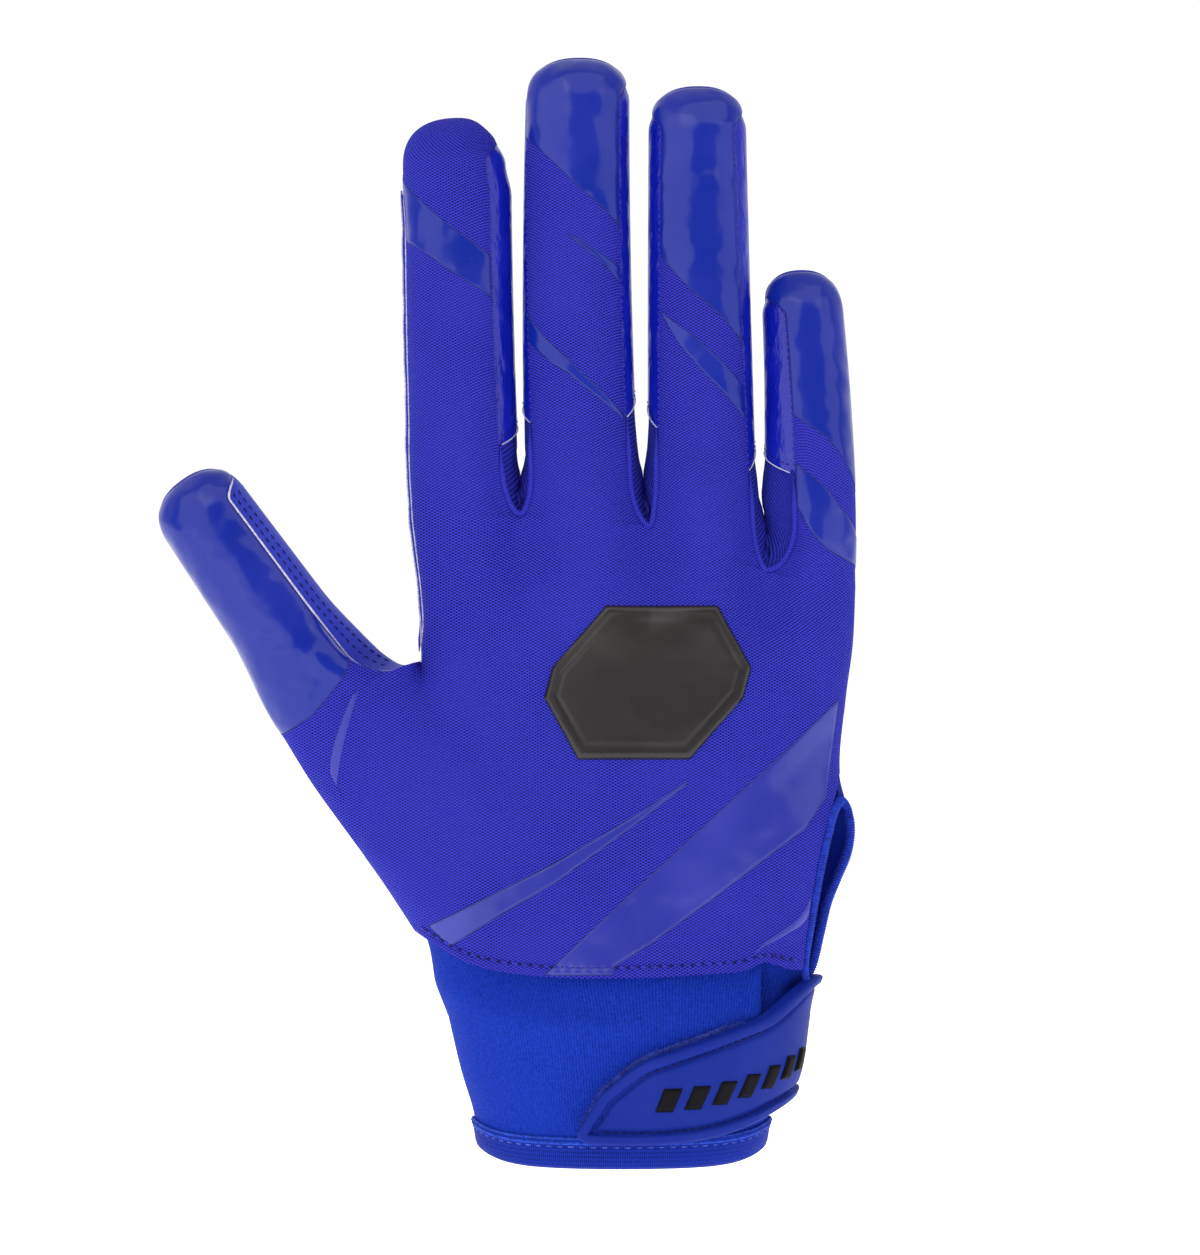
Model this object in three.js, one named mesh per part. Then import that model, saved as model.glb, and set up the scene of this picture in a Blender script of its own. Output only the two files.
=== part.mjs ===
// Football receiver glove for the right hand, filled as if worn, fingers up.
// Frame: origin in the wrist opening, X across towards the little finger, Y from the back of the hand
// to the palm, Z up towards the fingertips, all in millimetres.
import * as THREE from 'three';

// Driving sizes
const HAND_WIDTH = 91.6;
const PALM_LENGTH = 92.3;
const FINGER_LENGTH = 95.1;
const CUFF_HEIGHT = 39.4;
const WRIST_WIDTH = 59.7;
const HAND_DEPTH = 31;
const FINGER_DEPTH = 17.5;
const DOME_LENGTH = 9.8;

// Material thicknesses
const KNIT_WALL = 1.0;
const PALM_WALL = 1.2;
const SIDE_WALL = 1.0;
const CUFF_WALL = 2.4;
const FILM_WALL = 0.35;
const BADGE_WALL = 0.6;
const HEM_WALL = 1.0;
const HOOK_WALL = 0.9;
const STRAP_WALL = 2.2;
const STRAP_RIM = 0.9;
const BAR_WALL = 0.7;
const VENT_ROLL_RADIUS = 0.9;

// Clearances
const SEAM_GAP = 0.36;
const LAYER_GAP = 0.3;
const FILM_GAP = 0.33;

// How far the fork between two fingers takes to open and to reach full depth
const FORK_OPENING = FINGER_LENGTH * 0.108;
const FORK_DEPTH_BLEND = FINGER_LENGTH * 0.24;
const FORK_BULGE = FINGER_DEPTH * 0.09;

const DEGREE = Math.PI / 180;

// Rows up the hand. Columns run from the thumb edge to the little-finger edge at the borders of the
// five finger groups: x is a share of HAND_WIDTH from the middle of the wrist, z a share of PALM_LENGTH
// above the cuff seam. back and palm are half depths and middle is the Y of the edge, shares of HAND_DEPTH.
// slit is how far the back panel is cut short of the little-finger edge, where the vent stands open.
const BODY_ROWS = [
  { x: [-0.456, -0.318, -0.146, 0.048, 0.237, 0.446], z: [0.107, 0.039, 0.016, 0.015, 0.023, 0.024],
    slit: 0.036, back: 0.64, palm: 0.64, middle: 0.0 },
  { x: [-0.530, -0.361, -0.161, 0.048, 0.246, 0.490], z: [0.218, 0.174, 0.151, 0.149, 0.163, 0.182],
    slit: 0.060, back: 0.60, palm: 0.64, middle: 0.0 },
  { x: [-0.611, -0.403, -0.177, 0.052, 0.262, 0.528], z: [0.329, 0.316, 0.309, 0.310, 0.313, 0.318],
    slit: 0.072, back: 0.54, palm: 0.60, middle: 0.0 },
  { x: [-0.685, -0.430, -0.195, 0.054, 0.278, 0.497], z: [0.431, 0.498, 0.471, 0.467, 0.466, 0.458],
    slit: 0.0, back: 0.50, palm: 0.56, middle: 0.01 },
  { x: [-0.749, -0.441, -0.208, 0.059, 0.298, 0.510], z: [0.533, 0.704, 0.642, 0.631, 0.626, 0.618],
    slit: 0.0, back: 0.47, palm: 0.50, middle: 0.02 },
  { x: [-0.560, -0.436, -0.215, 0.066, 0.316, 0.526], z: [0.800, 0.813, 0.833, 0.813, 0.762, 0.740],
    slit: 0.0, back: 0.44, palm: 0.44, middle: 0.02 },
  { x: [-0.560, -0.459, -0.218, 0.073, 0.333, 0.532], z: [1.018, 1.018, 1.025, 0.999, 0.901, 0.867],
    slit: 0.0, back: 0.40, palm: 0.36, middle: 0.02 },
];

// The palm side of the finger forks sits higher than the back: same columns as the last body row.
const PALM_FORK = { x: [-0.560, -0.459, -0.217, 0.065, 0.318, 0.532], z: [1.018, 1.018, 1.109, 1.113, 1.024, 0.867] };

// Grid lines up the body, in rows of BODY_ROWS, closer together below the thumb fork
const BODY_LINES = [0, 0.5, 1, 1.5, 2, 2.5, 3, 3.5, 3.8, 3.95, 4, 5, 5.5, 6];
const THUMB_FORK_ROW = 4;
const FINGER_FORK_ROW = 6;

// Grid lines up a finger: shares of the straight part, then shares of the rounded tip
const SHAFT_LINES = [0, 0.006, 0.028, 0.065, 0.12, 0.2, 0.33, 0.52, 0.76, 1];
const TIP_LINES = [0.35, 0.62, 0.84, 1];
const COLUMNS = 6;

// Digits, thumb to little finger. root_x is a share of HAND_WIDTH, root_z of PALM_LENGTH, length of
// FINGER_LENGTH, widths are half widths in shares of HAND_WIDTH, depth a share of FINGER_DEPTH, lean in
// degrees from upright, bow a sideways share of HAND_WIDTH, curl how far the tip moves to the palm side
// as a share of FINGER_LENGTH. Seam angles are degrees from the middle of the back (left, right), at the
// root and at the tip, first for the back panel and then for the palm panel. forks marks the edges
// (left, right) that run down into a fork.
const DIGITS = [
  { name: 'thumb', root_x: -0.649, root_z: 0.644, length: 0.552, lean: -35.4, bow: 0.0, curl: 0.05,
    width: [0.124, 0.106], depth: [1.12, 0.96], forks: [0, 1],
    back: { root: [-90, 40], tip: [-90, 38] }, palm: { root: [-90, 140], tip: [-90, 142] } },
  { name: 'index', root_x: -0.341, root_z: 1.022, length: 0.871, lean: -1.4, bow: -0.006, curl: 0.08,
    width: [0.125, 0.122], depth: [1.00, 0.90], forks: [0, 1],
    back: { root: [-90, 43], tip: [-90, 38] }, palm: { root: [-90, 60], tip: [-90, 60] } },
  { name: 'middle', root_x: -0.078, root_z: 1.013, length: 1.011, lean: -0.6, bow: -0.008, curl: 0.09,
    width: [0.129, 0.117], depth: [1.02, 0.91], forks: [1, 1],
    back: { root: [-55, 56], tip: [-78, 54] }, palm: { root: [-60, 60], tip: [-60, 60] } },
  { name: 'ring', root_x: 0.192, root_z: 0.962, length: 0.999, lean: -0.75, bow: -0.002, curl: 0.09,
    width: [0.124, 0.110], depth: [0.98, 0.88], forks: [1, 1],
    back: { root: [-56, 62], tip: [-50, 48] }, palm: { root: [-60, 60], tip: [-60, 60] } },
  { name: 'little', root_x: 0.432, root_z: 0.896, length: 0.662, lean: -1.9, bow: 0.008, curl: 0.07,
    width: [0.105, 0.090], depth: [0.88, 0.80], forks: [1, 0],
    back: { root: [-18, 90], tip: [-29, 90] }, palm: { root: [-60, 90], tip: [-60, 90] } },
];

// The three finger forks: the digit to the left, and how high the knit web climbs on each side wall,
// as a share of FINGER_LENGTH above the fork.
const FORKS = [
  { name: 'index_middle', left: 1, web: [0.15, 0.20] },
  { name: 'middle_ring', left: 2, web: [0.23, 0.22] },
  { name: 'ring_little', left: 3, web: [0.20, 0.21] },
];

// Glossy films on the fingers. Each row: across is a share of the back panel's width on that digit,
// low and high are heights above the digit's root as shares of FINGER_LENGTH. A high of 2 means the tip.
const FINGER_FILMS = [
  { name: 'film_index_band', digit: 1,
    rows: [[0.05, 0.606, 0.748], [0.35, 0.578, 0.690], [0.70, 0.520, 0.618], [0.95, 0.470, 0.562]] },
  { name: 'film_middle_tip', digit: 2,
    rows: [[0.05, 0.836, 2], [0.30, 0.790, 2], [0.65, 0.705, 2], [0.95, 0.634, 2]] },
  { name: 'film_middle_sliver', digit: 2, rows: [[0.50, 0.612, 0.628], [0.75, 0.560, 0.592], [0.97, 0.512, 0.550]] },
  { name: 'film_middle_low', digit: 2,
    rows: [[0.03, 0.388, 0.448], [0.45, 0.316, 0.350], [0.70, 0.262, 0.286], [0.97, 0.214, 0.226]] },
  { name: 'film_ring_tip', digit: 3,
    rows: [[0.05, 0.622, 2], [0.35, 0.556, 2], [0.70, 0.492, 2], [0.95, 0.437, 2]] },
  { name: 'film_ring_low', digit: 3,
    rows: [[0.05, 0.498, 0.504], [0.42, 0.392, 0.448], [0.70, 0.326, 0.392], [0.97, 0.264, 0.338]] },
  { name: 'film_little_tip', digit: 4,
    rows: [[0.05, 0.343, 2], [0.40, 0.290, 2], [0.70, 0.228, 2], [0.94, 0.180, 2]] },
  { name: 'film_little_low', digit: 4,
    rows: [[0.06, 0.140, 0.236], [0.35, 0.066, 0.186], [0.65, 0.030, 0.127], [0.94, 0.012, 0.080]] },
  { name: 'film_thumb_cap', digit: 0,
    rows: [[0.05, 0.016, 2], [0.35, 0.022, 2], [0.70, 0.040, 2], [0.93, 0.080, 2]] },
];

// Glossy films and the badge on the back of the hand. Each row: x and z of the upper edge, then x and z
// of the lower edge, shares of HAND_WIDTH and of PALM_LENGTH above the cuff seam.
const HAND_FILMS = [
  { name: 'film_hand_wide', wall: FILM_WALL,
    rows: [[0.487, 0.613, 0.465, 0.401], [0.401, 0.532, 0.425, 0.324], [0.315, 0.453, 0.313, 0.265],
      [0.136, 0.300, 0.207, 0.208], [-0.058, 0.135, 0.059, 0.092], [-0.130, 0.062, 0.005, 0.045]] },
  { name: 'film_hand_narrow', wall: FILM_WALL,
    rows: [[0.154, 0.444, 0.149, 0.432], [0.048, 0.374, 0.046, 0.353], [-0.137, 0.265, -0.137, 0.221],
      [-0.283, 0.192, -0.261, 0.149], [-0.390, 0.139, -0.352, 0.095]] },
  { name: 'back_badge', wall: BADGE_WALL,
    rows: [[0.295, 0.690, 0.277, 0.624], [0.220, 0.826, 0.158, 0.489], [0.096, 0.826, 0.034, 0.489],
      [-0.027, 0.826, -0.089, 0.489], [-0.146, 0.690, -0.164, 0.624]] },
];

// Cuff rings from the seam down: half width and half depth as shares of WRIST_WIDTH, x_middle the same,
// z a share of CUFF_HEIGHT, side_lift how much higher the two sides stand than the front and back.
const CUFF_RINGS = [
  { half_width: 0.570, half_depth: 0.385, x_middle: 0.010, z: 0.78, side_lift: 0.02 },
  { half_width: 0.537, half_depth: 0.365, x_middle: 0.008, z: 0.50, side_lift: 0.03 },
  { half_width: 0.505, half_depth: 0.350, x_middle: 0.010, z: 0.26, side_lift: 0.06 },
  { half_width: 0.472, half_depth: 0.340, x_middle: 0.006, z: 0.09, side_lift: 0.07 },
];

// Wrist strap, round the little-finger side: angle from the middle of the back, and the heights of its
// lower and upper edges as shares of CUFF_HEIGHT.
const STRAP_ROWS = [
  { angle: -16, low: 0.225, high: 0.262 },
  { angle: -13, low: 0.198, high: 0.330 },
  { angle: -7.5, low: 0.190, high: 0.455 },
  { angle: 5, low: 0.188, high: 0.605 },
  { angle: 16, low: 0.192, high: 0.672 },
  { angle: 28, low: 0.205, high: 0.732 },
  { angle: 39, low: 0.232, high: 0.785 },
  { angle: 50, low: 0.270, high: 0.840 },
  { angle: 65, low: 0.330, high: 0.925 },
  { angle: 78, low: 0.370, high: 0.975 },
  { angle: 92, low: 0.390, high: 0.990 },
  { angle: 115, low: 0.400, high: 0.970 },
  { angle: 145, low: 0.390, high: 0.930 },
  { angle: 176, low: 0.380, high: 0.900 },
];

const HOOK_PATCH = { from: -14, to: 44, steps: 6 };
const STRAP_BARS = { count: 7, from: 10, to: 80, low: 0.17, height: 0.12, width: 3.7, slant: 1.4 };

const COLOURS = {
  knit: 0x2f3190, film: 0x2a3a9c, side: 0x2033b4, web: 0x282c96, palm: 0x24308f, cuff: 0x2441bd,
  hem: 0x1a2d92, roll: 0x2c46c4, strap: 0x182d90, hook: 0x10195a, black: 0x242226,
};

// Small maths helpers
const lerp = (a, b, t) => a + (b - a) * t;
const clamp = (value, low, high) => Math.min(high, Math.max(low, value));
const smooth = (t) => {
  const c = clamp(t, 0, 1);
  return c * c * (3 - 2 * c);
};
const arch = (t) => Math.sqrt(Math.max(0, 1 - (1 - clamp(t, 0, 1)) ** 2));
const vector = (x, y, z) => new THREE.Vector3(x, y, z);

// Smooth curve through a column of numbers at whole-number stations
function through(values, at) {
  const i = clamp(Math.floor(at), 0, values.length - 2);
  const t = at - i;
  const b = values[i];
  const c = values[i + 1];
  const a = i > 0 ? values[i - 1] : 2 * b - c;
  const d = i + 2 < values.length ? values[i + 2] : 2 * c - b;
  return 0.5 * (2 * b + (c - a) * t + (2 * a - 5 * b + 4 * c - d) * t * t + (3 * b - a - 3 * c + d) * t * t * t);
}

// Smooth curve through rows whose first column is their station
function alongTable(rows, key, value, at) {
  let i = 0;
  while (i < rows.length - 2 && at > rows[i + 1][key]) {
    i += 1;
  }
  const share = clamp((at - rows[i][key]) / (rows[i + 1][key] - rows[i][key]), 0, 1);
  return through(rows.map((row) => row[value]), i + share);
}

// Seam angles of a digit, side 'back' or 'palm', at a share up its straight part
function seamAngles(digit, side, share) {
  const s = clamp(share, 0, 1);
  return [0, 1].map((i) => lerp(digit[side].root[i], digit[side].tip[i], s) * DEGREE);
}

// Share across a group's width of column share t: the sine spacing of the digit's section
function columnShare(digit, side, t) {
  const [left, rightFull] = seamAngles(digit, side, 0);
  const right = Math.min(rightFull, 70 * DEGREE + (rightFull >= 89 * DEGREE && rightFull < 91 * DEGREE ? 20 * DEGREE : 0));
  const sine = Math.sin(lerp(left, right, t));
  return (sine - Math.sin(left)) / (Math.sin(right) - Math.sin(left));
}

const BODY_TABLE = {
  back: BODY_ROWS,
  palm: [...BODY_ROWS.slice(0, FINGER_FORK_ROW), PALM_FORK],
};
const VENT_TOP_ROW = 3;

// Planar place of column u (0 to 5) and row v (0 to 6): across and along, in millimetres
function bodyPlane(side, u, v) {
  const first = v > THUMB_FORK_ROW ? 1 : 0;
  const place = (axis) => {
    const columns = [];
    for (let i = first; i <= 5; i += 1) {
      const limit = i === 0 ? THUMB_FORK_ROW + 1 : BODY_ROWS.length;
      columns.push(through(BODY_TABLE[side].slice(0, limit).map((row) => row[axis][i]), v));
    }
    if (side === 'back' && axis === 'x' && v < VENT_TOP_ROW) {
      columns[5 - first] -= through(BODY_ROWS.map((row) => row.slit), v);
    }
    return through(columns, u - first);
  };
  return [place('x') * HAND_WIDTH, place('z') * PALM_LENGTH + CUFF_HEIGHT];
}

// Rounded section: 1 in the middle, 0 at both edges
function lobe(s) {
  return (1 - Math.min(1, Math.abs(s)) ** 2.3) ** (1 / 2.3);
}

// Point of the hand below the fingers; on the back the vent side is cut short of the outline.
// The section is the hand's lobe joined with the thumb's, which part at the thumb fork.
function bodyPoint(side, u, v) {
  const [x, z] = bodyPlane(side, u, v);
  const depth = HAND_DEPTH * through(BODY_ROWS.map((row) => row[side]), v);
  const middle = HAND_DEPTH * through(BODY_ROWS.map((row) => row.middle), v);
  const right = bodyPlane('palm', 5, v)[0];
  const edge = bodyPlane('palm', v > THUMB_FORK_ROW ? 1 : 0, v)[0];
  const fork = v > THUMB_FORK_ROW ? edge : bodyPlane('palm', 1, v)[0];
  const joined = smooth((THUMB_FORK_ROW - v) / 2.6);
  const left = lerp(fork, edge, joined);
  let height = depth * lobe((2 * (x - left)) / (right - left) - 1);
  if (v <= THUMB_FORK_ROW) {
    const inner = lerp(fork, right, 0.5 * joined);
    const thumbDepth = FINGER_DEPTH * 0.5 * DIGITS[0].depth[0] * (side === 'palm' ? 1.2 : 1.05);
    const thumb = thumbDepth * smooth((v - 0.6) / 2) * lobe((2 * (x - edge)) / (inner - edge) - 1);
    height = (height ** 4 + thumb ** 4) ** 0.25;
  }
  const rise = smooth((v - 4.6) / 1.4);
  for (let border = 2; border <= 4; border += 1) {
    height *= 1 - 0.42 * rise * Math.exp(-(((u - border) / 0.27) ** 2));
  }
  const knuckle = side === 'back' ? 0.07 * Math.exp(-(((v - 5.2) / 0.5) ** 2)) : 0;
  height *= 1 + knuckle * Math.abs(Math.cos(Math.PI * (u - 0.5)));
  return vector(x, middle + (side === 'back' ? -height : height), z);
}

// Centre line of a digit at a height above its root
function digitAxis(digit, height) {
  const length = digit.length * FINGER_LENGTH;
  const share = clamp(height / length, 0, 1);
  const lean = digit.lean * DEGREE;
  const sideways = digit.bow * HAND_WIDTH * 4 * share * (1 - share);
  return vector(
    digit.root_x * HAND_WIDTH + height * Math.sin(lean) + sideways * Math.cos(lean),
    HAND_DEPTH * 0.02 + digit.curl * FINGER_LENGTH * share ** 1.7,
    digit.root_z * PALM_LENGTH + CUFF_HEIGHT + height * Math.cos(lean) - sideways * Math.sin(lean),
  );
}

// Point of a digit: t across from seam to seam, k up the straight part (0 to 1) and the tip (1 to 2)
function digitPoint(side, index, t, k, outline = false) {
  const digit = DIGITS[index];
  const length = digit.length * FINGER_LENGTH;
  const shoulder = length - DOME_LENGTH;
  const lean = digit.lean * DEGREE;
  const share = clamp(k, 0, 1);
  const half = HAND_WIDTH * lerp(digit.width[0], digit.width[1], share);
  const thick = FINGER_DEPTH * 0.5 * lerp(digit.depth[0], digit.depth[1], share);
  const q = clamp(k - 1, 0, 1);
  const angles = seamAngles(digit, side, share);
  const eased = smooth(q / 0.84);
  const left = lerp(angles[0], -Math.PI / 2, eased);
  const right = lerp(angles[1], Math.PI / 2, eased);
  const angle = outline ? lerp(-Math.PI / 2, Math.PI / 2, t) : lerp(left, right, t);
  const p = Math.sin(angle);
  const sign = side === 'back' ? -1 : 1;
  const flat = Math.sqrt(1 - q * q);
  const discX = p * Math.sqrt(1 - (q * q) / 2);
  const discZ = q * Math.sqrt(1 - (p * p) / 2);
  const radius = Math.min(1, Math.hypot(discX, discZ));
  const turn = Math.atan2(discZ, discX);
  const square = (Math.abs(Math.cos(turn)) ** 2.4 + Math.abs(Math.sin(turn)) ** 2.4) ** (-1 / 2.4);
  const swell = lerp(1, square, q > 0 ? radius ** 2 : 0);
  const lateral = half * discX * swell;
  const up = DOME_LENGTH * discZ * swell;
  const depth = sign * thick * Math.cos(angle) * flat;

  const row = index === 0 ? THUMB_FORK_ROW : FINGER_FORK_ROW;
  const start = bodyPoint(side, index + columnShare(digit, side, t), row);
  const root = digitAxis(digit, 0);
  const startUp = (start.x - root.x) * Math.sin(lean) + (start.z - root.z) * Math.cos(lean);
  const startAcross = (start.x - root.x) * Math.cos(lean) - (start.z - root.z) * Math.sin(lean);
  const height = lerp(startUp, shoulder, share) + up;
  const risen = (shoulder - startUp) * share;
  const nearFork = Math.max(digit.forks[0] * (1 - t) ** 3, digit.forks[1] * t ** 3);
  const open = lerp(smooth(risen / FORK_DEPTH_BLEND), arch(risen / FORK_OPENING), nearFork);
  const risenShare = clamp(risen / FORK_DEPTH_BLEND, 0, 1);
  const deep = lerp(smooth(risenShare), risenShare, 0.25);
  const axis = digitAxis(digit, height);
  const across = lerp(startAcross, lateral, open);
  return vector(
    axis.x + across * Math.cos(lean),
    lerp(start.y, axis.y + depth, deep),
    axis.z - across * Math.sin(lean),
  );
}

// Open sheet of points and four-cornered cells, wound to face outwards
class Sheet {
  constructor() {
    this.points = [];
    this.cells = [];
  }

  add(point) {
    this.points.push(point);
    return this.points.length - 1;
  }

  // Rows of vertex numbers joined into cells
  join(rows, flip) {
    for (let r = 0; r + 1 < rows.length; r += 1) {
      for (let c = 0; c + 1 < rows[r].length; c += 1) {
        const cell = [rows[r][c], rows[r][c + 1], rows[r + 1][c + 1], rows[r + 1][c]];
        this.cells.push(flip ? cell.reverse() : cell);
      }
    }
  }

  normals() {
    const sums = this.points.map(() => vector(0, 0, 0));
    for (const cell of this.cells) {
      const [a, b, c, d] = cell.map((i) => this.points[i]);
      const normal = c.clone().sub(a).cross(d.clone().sub(b));
      cell.forEach((i) => sums[i].add(normal));
    }
    return sums;
  }

  // Border edges, each in the direction its cell runs
  border() {
    const seen = new Map();
    for (const cell of this.cells) {
      cell.forEach((from, i) => {
        const to = cell[(i + 1) % cell.length];
        seen.set(`${from}_${to}`, [from, to]);
      });
    }
    return [...seen.values()].filter(([from, to]) => !seen.has(`${to}_${from}`));
  }
}

const placeKey = (point) => [point.x, point.y, point.z].map((value) => Math.round(value * 200)).join('_');

// Gives a sheet its thickness. shared holds summed normals of seams that two sheets meet along.
function shell(sheet, wall, shared = null, trim = SEAM_GAP / 2) {
  const sums = sheet.normals();
  const border = sheet.border();
  const normals = sums.map((sum) => sum.clone().normalize());
  const pulls = new Map();
  for (const [from, to] of border) {
    const along = sheet.points[to].clone().sub(sheet.points[from]).normalize();
    for (const i of [from, to]) {
      const pull = normals[i].clone().cross(along);
      pulls.set(i, pulls.has(i) ? pulls.get(i).add(pull) : pull);
    }
  }
  const inward = normals.map((normal, i) => {
    const sum = shared && pulls.has(i) ? shared.get(placeKey(sheet.points[i])) : null;
    if (!sum) {
      return normal.clone().multiplyScalar(-wall);
    }
    const mean = sum.clone().normalize();
    return mean.multiplyScalar(-wall / Math.max(0.6, mean.dot(normal)));
  });
  const outer = sheet.points.map((point, i) => {
    const moved = point.clone();
    if (pulls.has(i)) {
      const pull = pulls.get(i);
      const size = pull.length();
      moved.addScaledVector(pull, (trim * 2) / Math.max(0.8, size * size));
    }
    return moved;
  });
  const count = outer.length;
  const vertices = [...outer, ...outer.map((point, i) => point.clone().add(inward[i]))];
  const faces = [];
  for (const cell of sheet.cells) {
    const [a, b, c, d] = cell;
    const diagonal = vertices[a].distanceTo(vertices[c]) <= vertices[b].distanceTo(vertices[d]);
    const halves = diagonal ? [[a, b, c], [a, c, d]] : [[a, b, d], [b, c, d]];
    for (const [i, j, k] of halves) {
      faces.push([i, j, k], [i + count, k + count, j + count]);
    }
  }
  for (const [from, to] of border) {
    faces.push([to, from, from + count], [to, from + count, to + count]);
  }
  return { vertices, faces };
}

// The back or palm as one comb: hand rows below, five digits above
function combSheet(side) {
  const sheet = new Sheet();
  const flip = side === 'palm';
  const placed = new Map();
  const vertex = (key, make) => {
    if (!placed.has(key)) {
      placed.set(key, sheet.add(make()));
    }
    return placed.get(key);
  };
  const bodyVertex = (index, column, v) => {
    const group = column === COLUMNS ? index + 1 : index;
    const step = column === COLUMNS ? 0 : column;
    const share = column === COLUMNS ? 1 : columnShare(DIGITS[index], side, column / COLUMNS);
    return vertex(`body_${group}_${step}_${v}`, () => bodyPoint(side, index + share, v));
  };
  DIGITS.forEach((digit, index) => {
    const top = index === 0 ? THUMB_FORK_ROW : FINGER_FORK_ROW;
    const rows = BODY_LINES.filter((v) => v <= top).map((v) => {
      const row = [];
      for (let column = 0; column <= COLUMNS; column += 1) {
        row.push(bodyVertex(index, column, v));
      }
      return row;
    });
    const lines = [...SHAFT_LINES.slice(1), ...TIP_LINES.map((q) => 1 + q)];
    for (const k of lines) {
      const row = [];
      for (let column = 0; column <= COLUMNS; column += 1) {
        row.push(sheet.add(digitPoint(side, index, column / COLUMNS, k)));
      }
      rows.push(row);
    }
    sheet.join(rows, flip);
  });
  return sheet;
}

// Outward normal of the back or palm panel on a digit
function digitNormal(side, index, t, k) {
  const step = 0.02;
  const t0 = clamp(t, step, 1 - step);
  const k0 = clamp(k, 0.03, 1.8);
  const across = digitPoint(side, index, t0 + step, k0).sub(digitPoint(side, index, t0 - step, k0));
  const up = digitPoint(side, index, t0, k0 + step).sub(digitPoint(side, index, t0, k0 - step));
  const normal = across.cross(up).normalize();
  return side === 'back' ? normal : normal.negate();
}

// One line across a finger side wall, from under the back panel's seam to under the palm panel's seam
function wallLine(index, right, k, outward) {
  const t = right ? 1 : 0;
  const back = digitPoint('back', index, t, k);
  const palm = digitPoint('palm', index, t, k);
  const tuckedBack = back.clone().addScaledVector(digitNormal('back', index, t, k), -(KNIT_WALL + LAYER_GAP));
  const tuckedPalm = palm.clone().addScaledVector(digitNormal('palm', index, t, k), -(PALM_WALL + LAYER_GAP));
  const digit = DIGITS[index];
  const rise = clamp(k, 0, 1) * (digit.length * FINGER_LENGTH - DOME_LENGTH);
  const open = smooth(rise / FORK_OPENING);
  const middle = back.clone().add(palm).multiplyScalar(0.5);
  const outline = digitPoint('back', index, t, k, true);
  const bulge = lerp(FORK_BULGE, outline.sub(middle).dot(outward), open);
  const control = middle.addScaledVector(outward, bulge).multiplyScalar(2);
  control.addScaledVector(tuckedBack, -0.5).addScaledVector(tuckedPalm, -0.5);
  return [0, 1 / 3, 2 / 3, 1].map((w) => {
    const point = tuckedBack.clone().multiplyScalar((1 - w) ** 2);
    point.addScaledVector(control, 2 * w * (1 - w));
    return point.addScaledVector(tuckedPalm, w * w);
  });
}

// Direction out of the finger into the fork at a side-wall line
function wallOutward(index, right, k) {
  const t = right ? 1 : 0;
  const middle = (at) => digitPoint('back', index, t, at).add(digitPoint('palm', index, t, at));
  const low = Math.max(0, k - 0.004);
  const tangent = middle(low + 0.008).sub(middle(low));
  tangent.y = 0;
  tangent.normalize();
  return right ? vector(tangent.z, 0, -tangent.x) : vector(-tangent.z, 0, tangent.x);
}

// Knit web in a fork and the two side walls above it
function forkSheets(fork) {
  const pieces = [];
  const shaft = (index) => DIGITS[index].length * FINGER_LENGTH - DOME_LENGTH;
  const upLines = [0.004, 0.012, 0.03, 0.06, 0.11];
  const line = (index, right, k) => {
    const sideways = vector(right ? 1 : -1, 0, 0);
    const along = k > 1 ? sideways : wallOutward(index, right, k);
    const outward = k < 0.0005 ? vector(0, 0, 1) : along;
    return wallLine(index, right, k, outward);
  };
  const web = new Sheet();
  const rows = [];
  const left = fork.left;
  const webTop = [0, 1].map((i) => (fork.web[i] * FINGER_LENGTH) / shaft(left + i));
  for (const share of [webTop[0], ...upLines.map((k) => (k * FINGER_LENGTH) / shaft(left)).reverse()]) {
    rows.push(line(left, true, share));
  }
  rows.push(line(left, true, 0));
  for (const share of [...upLines.map((k) => (k * FINGER_LENGTH) / shaft(left + 1)), webTop[1]]) {
    rows.push(line(left + 1, false, share));
  }
  web.join(rows.map((row) => row.map((point) => web.add(point))), true);
  pieces.push({ name: `web_${fork.name}`, sheet: web, wall: SIDE_WALL, colour: 'web' });
  [0, 1].forEach((i) => {
    const index = left + i;
    const right = i === 0;
    const wall = new Sheet();
    const shares = [0, 0.14, 0.3, 0.5, 0.75, 1].map((s) => lerp(webTop[i], 1, s));
    shares.push(1.3, 1.55);
    const lines = shares.map((k) => line(index, right, k));
    wall.join(lines.map((row) => row.map((point) => wall.add(point))), !right === false ? false : true);
    const hand = right ? 'right' : 'left';
    pieces.push({ name: `sidewall_${DIGITS[index].name}_${hand}`, sheet: wall, wall: SIDE_WALL, colour: 'side' });
  });
  return pieces;
}

// A film between two edges over a surface, raised by the layer gap and given its thickness
function filmSheet(lines) {
  const sheet = new Sheet();
  sheet.join(lines.map((row) => row.map((point) => sheet.add(point))), false);
  return sheet;
}

// Column shares for k at a height above the digit's root
function digitAtHeight(index, t, height) {
  const digit = DIGITS[index];
  const shoulder = digit.length * FINGER_LENGTH - DOME_LENGTH;
  const foot = digitPoint('back', index, t, 0);
  const root = digitAxis(digit, 0);
  const lean = digit.lean * DEGREE;
  const footUp = (foot.x - root.x) * Math.sin(lean) + (foot.z - root.z) * Math.cos(lean);
  if (height <= shoulder) {
    return clamp((height - footUp) / (shoulder - footUp), 0.012, 1);
  }
  return 1 + clamp((height - shoulder) / DOME_LENGTH, 0, 0.985);
}

function raised(point, normal, lift) {
  return point.clone().addScaledVector(normal, lift);
}

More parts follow.
